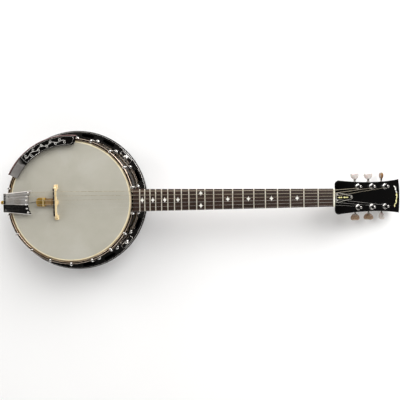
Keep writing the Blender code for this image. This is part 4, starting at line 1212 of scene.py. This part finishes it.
# --- strings -------------------------------------------------------------------------------
def string_run(number, gauge):
    """Centre line of a string: its pin, the bridge, the nut and its post."""
    across = string_across(number)
    lift = gauge / 2 + 0.0003
    post = shift(POST_S[int(2.5 - abs(across))], (1 if across > 0 else -1) * POST_Y)
    touch = (1 if across < 0 else -1) * (POST_WAIST + STRING_GAP + gauge / 2)
    return (Vector((tail_front(across * TAIL_SPACING / TAIL_HALF[1]) - PIN_SETBACK + 0.0016,
                    STRING_CENTRE_Y + across * TAIL_SPACING, 0.1226 + gauge / 2)),
            Vector((BRIDGE_X - sin(radians(BRIDGE_SKEW)) * across * BRIDGE_SPACING,
                    STRING_CENTRE_Y + across * BRIDGE_SPACING, BRIDGE_TOP_Z - 0.0008 + lift)),
            Vector((NUT_X + NUT_THICKNESS / 2, across * NUT_SPACING, board_top(NUT_X) + 0.0012 + lift)),
            HEADSTOCK @ post @ Vector((0, touch, 0.0078)))


def bent(points, corner=0.0022, steps=5):
    """Round off the corners of a polyline."""
    out = [points[0]]
    for before, here, after in zip(points, points[1:], points[2:]):
        a = here + (before - here).normalized() * corner
        b = here + (after - here).normalized() * corner
        out += [a * (1 - t) ** 2 + here * (2 * t * (1 - t)) + b * t ** 2 for t in spaced(0, 1, steps)]
    return out + [points[-1]]


def build_strings():
    """Each string is a run on the body and a straight tail length to its pin; its loop rides on the
    tailpiece.
    """
    for number, gauge in enumerate(GAUGES, start=1):
        pin, bridge, nut, end = string_run(number, gauge)
        look = "wound_wire" if gauge > WOUND_FROM else "plain_wire"
        back = (pin - bridge).normalized()
        run = sweep(bent([bridge + back * 0.0060, bridge, nut, end]), gauge / 2, 12, sharp=0)
        piece(f"string_{number}_run", run, look, replaces=(f"string_{number}",))
        start = bridge + back * 0.0058
        tail = sweep([start + (pin - start) * t for t in spaced(0, 1, 14)], gauge / 2, 12, sharp=0)
        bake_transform(piece(f"string_{number}_tail", tail, look, body=None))
        loop = revolve(arc((0.00060, 0), 0.00055, 0, 360, 12)[:-1], 24)
        piece(f"string_{number}_loop", loop, look, "tailpiece",
              matrix=shift(pin.x - 0.0016, pin.y, pin.z - gauge / 2 - 0.0002)
              @ Matrix.Diagonal((2.6, 2.6, 0.8, 1)))


# --- studio -----------------------------------------------------------------------------------
def build_floor():
    m = Shader("studio_floor", Roughness=0.9, Specular_IOR_Level=0.0)
    m.set(Base_Color=m.ramp(m.noise(3, 2), [(0.3, "f6f6f6"), (0.7, "f8f8f8")]))
    bm = bmesh.new()
    bmesh.ops.create_grid(bm, x_segments=2, y_segments=2, size=60.0)
    floor = piece("studio_floor", mesh_of(bm), "studio_floor", body=None)
    floor.location = (0.3, 0, -0.0004)


def build_world():
    """A room whose radiance depends on direction: walls, a screen, a pale panel, a dark side."""
    SCENE.world = bpy.data.worlds.new("studio")
    SCENE.world.use_nodes = True
    tree = SCENE.world.node_tree
    direction = tree.nodes.new("ShaderNodeTexCoord").outputs["Generated"]

    def towards(aim, edge, core, low, high):
        """Radiance that changes from low to high between two angles off aim."""
        dot = tree.nodes.new("ShaderNodeVectorMath")
        dot.operation = "DOT_PRODUCT"
        tree.links.new(direction, dot.inputs[0])
        dot.inputs[1].default_value = Vector(aim).normalized()
        spread = tree.nodes.new("ShaderNodeMapRange")
        spread.interpolation_type = "SMOOTHSTEP"
        tree.links.new(dot.outputs["Value"], spread.inputs["Value"])
        for socket, value in zip(spread.inputs[1:5], (cos(radians(edge)), cos(radians(core)), low, high)):
            socket.default_value = value
        return spread.outputs["Result"]

    def joined(operation, first, second):
        node = tree.nodes.new("ShaderNodeMath")
        node.operation = operation
        tree.links.new(first, node.inputs[0])
        tree.links.new(second, node.inputs[1])
        return node.outputs["Value"]

    walls = towards((0, 0, 1), 52, 34, 1.85, 0.016)
    screen = towards((0.82, 0, 0.57), 36, 24, 1.0, 0.02)
    panel = towards((-0.60, 0.22, 0.77), 12.4, 11.0, 0.0, 0.38)
    shade = towards((-0.75, -0.55, 0.25), 80, 38, 1.0, 0.50)
    strength = joined("MULTIPLY", joined("MULTIPLY", walls, shade), screen)
    background = tree.nodes["Background"]
    tree.links.new(joined("ADD", strength, panel), background.inputs["Strength"])
    background.inputs["Color"].default_value = (1.0, 0.985, 0.965, 1.0)


def build_lights():
    for name, location, target, size, power in (
            ("key_light", (1.7, 1.5, 1.9), (0.2, 0, 0.05), (2.3, 2.3), 78),
            ("rim_light", (-1.9, 1.2, 1.2), (0.0, 0, 0.1), (0.5, 1.2), 9)):
        data = bpy.data.lights.new(name, "AREA")
        data.shape = "RECTANGLE"
        data.size, data.size_y = size
        data.energy = power
        lamp = bpy.data.objects.new(name, data)
        SCENE.collection.objects.link(lamp)
        lamp.location = location
        lamp.rotation_euler = (Vector(target) - Vector(location)).to_track_quat("-Z", "Y").to_euler()


def build_camera():
    data = bpy.data.cameras.new("camera")
    data.sensor_width = 36.0
    data.lens = 33.75
    data.clip_start, data.clip_end = 0.05, 20
    data.shift_x, data.shift_y = -0.0641, -0.0503
    camera = bpy.data.objects.new("camera", data)
    SCENE.collection.objects.link(camera)
    camera.location = (0.3600, 0.0450, 0.98)
    camera.rotation_euler = (0, 0, radians(-0.62))
    SCENE.camera = camera


for build in (build_camera, make_plain_materials, make_natural_materials, build_resonator, build_head,
              build_hoop, build_flange, build_hooks, build_hidden, build_neck, build_fingerboard,
              build_frets, build_inlays, build_nut, build_truss_cover, build_ornament, build_tuners,
              build_bridge, build_tailpiece, build_tail_nut, build_mute, build_armrest, build_strings,
              build_floor, build_world, build_lights):
    build()
SCENE.view_settings.view_transform = "Standard"
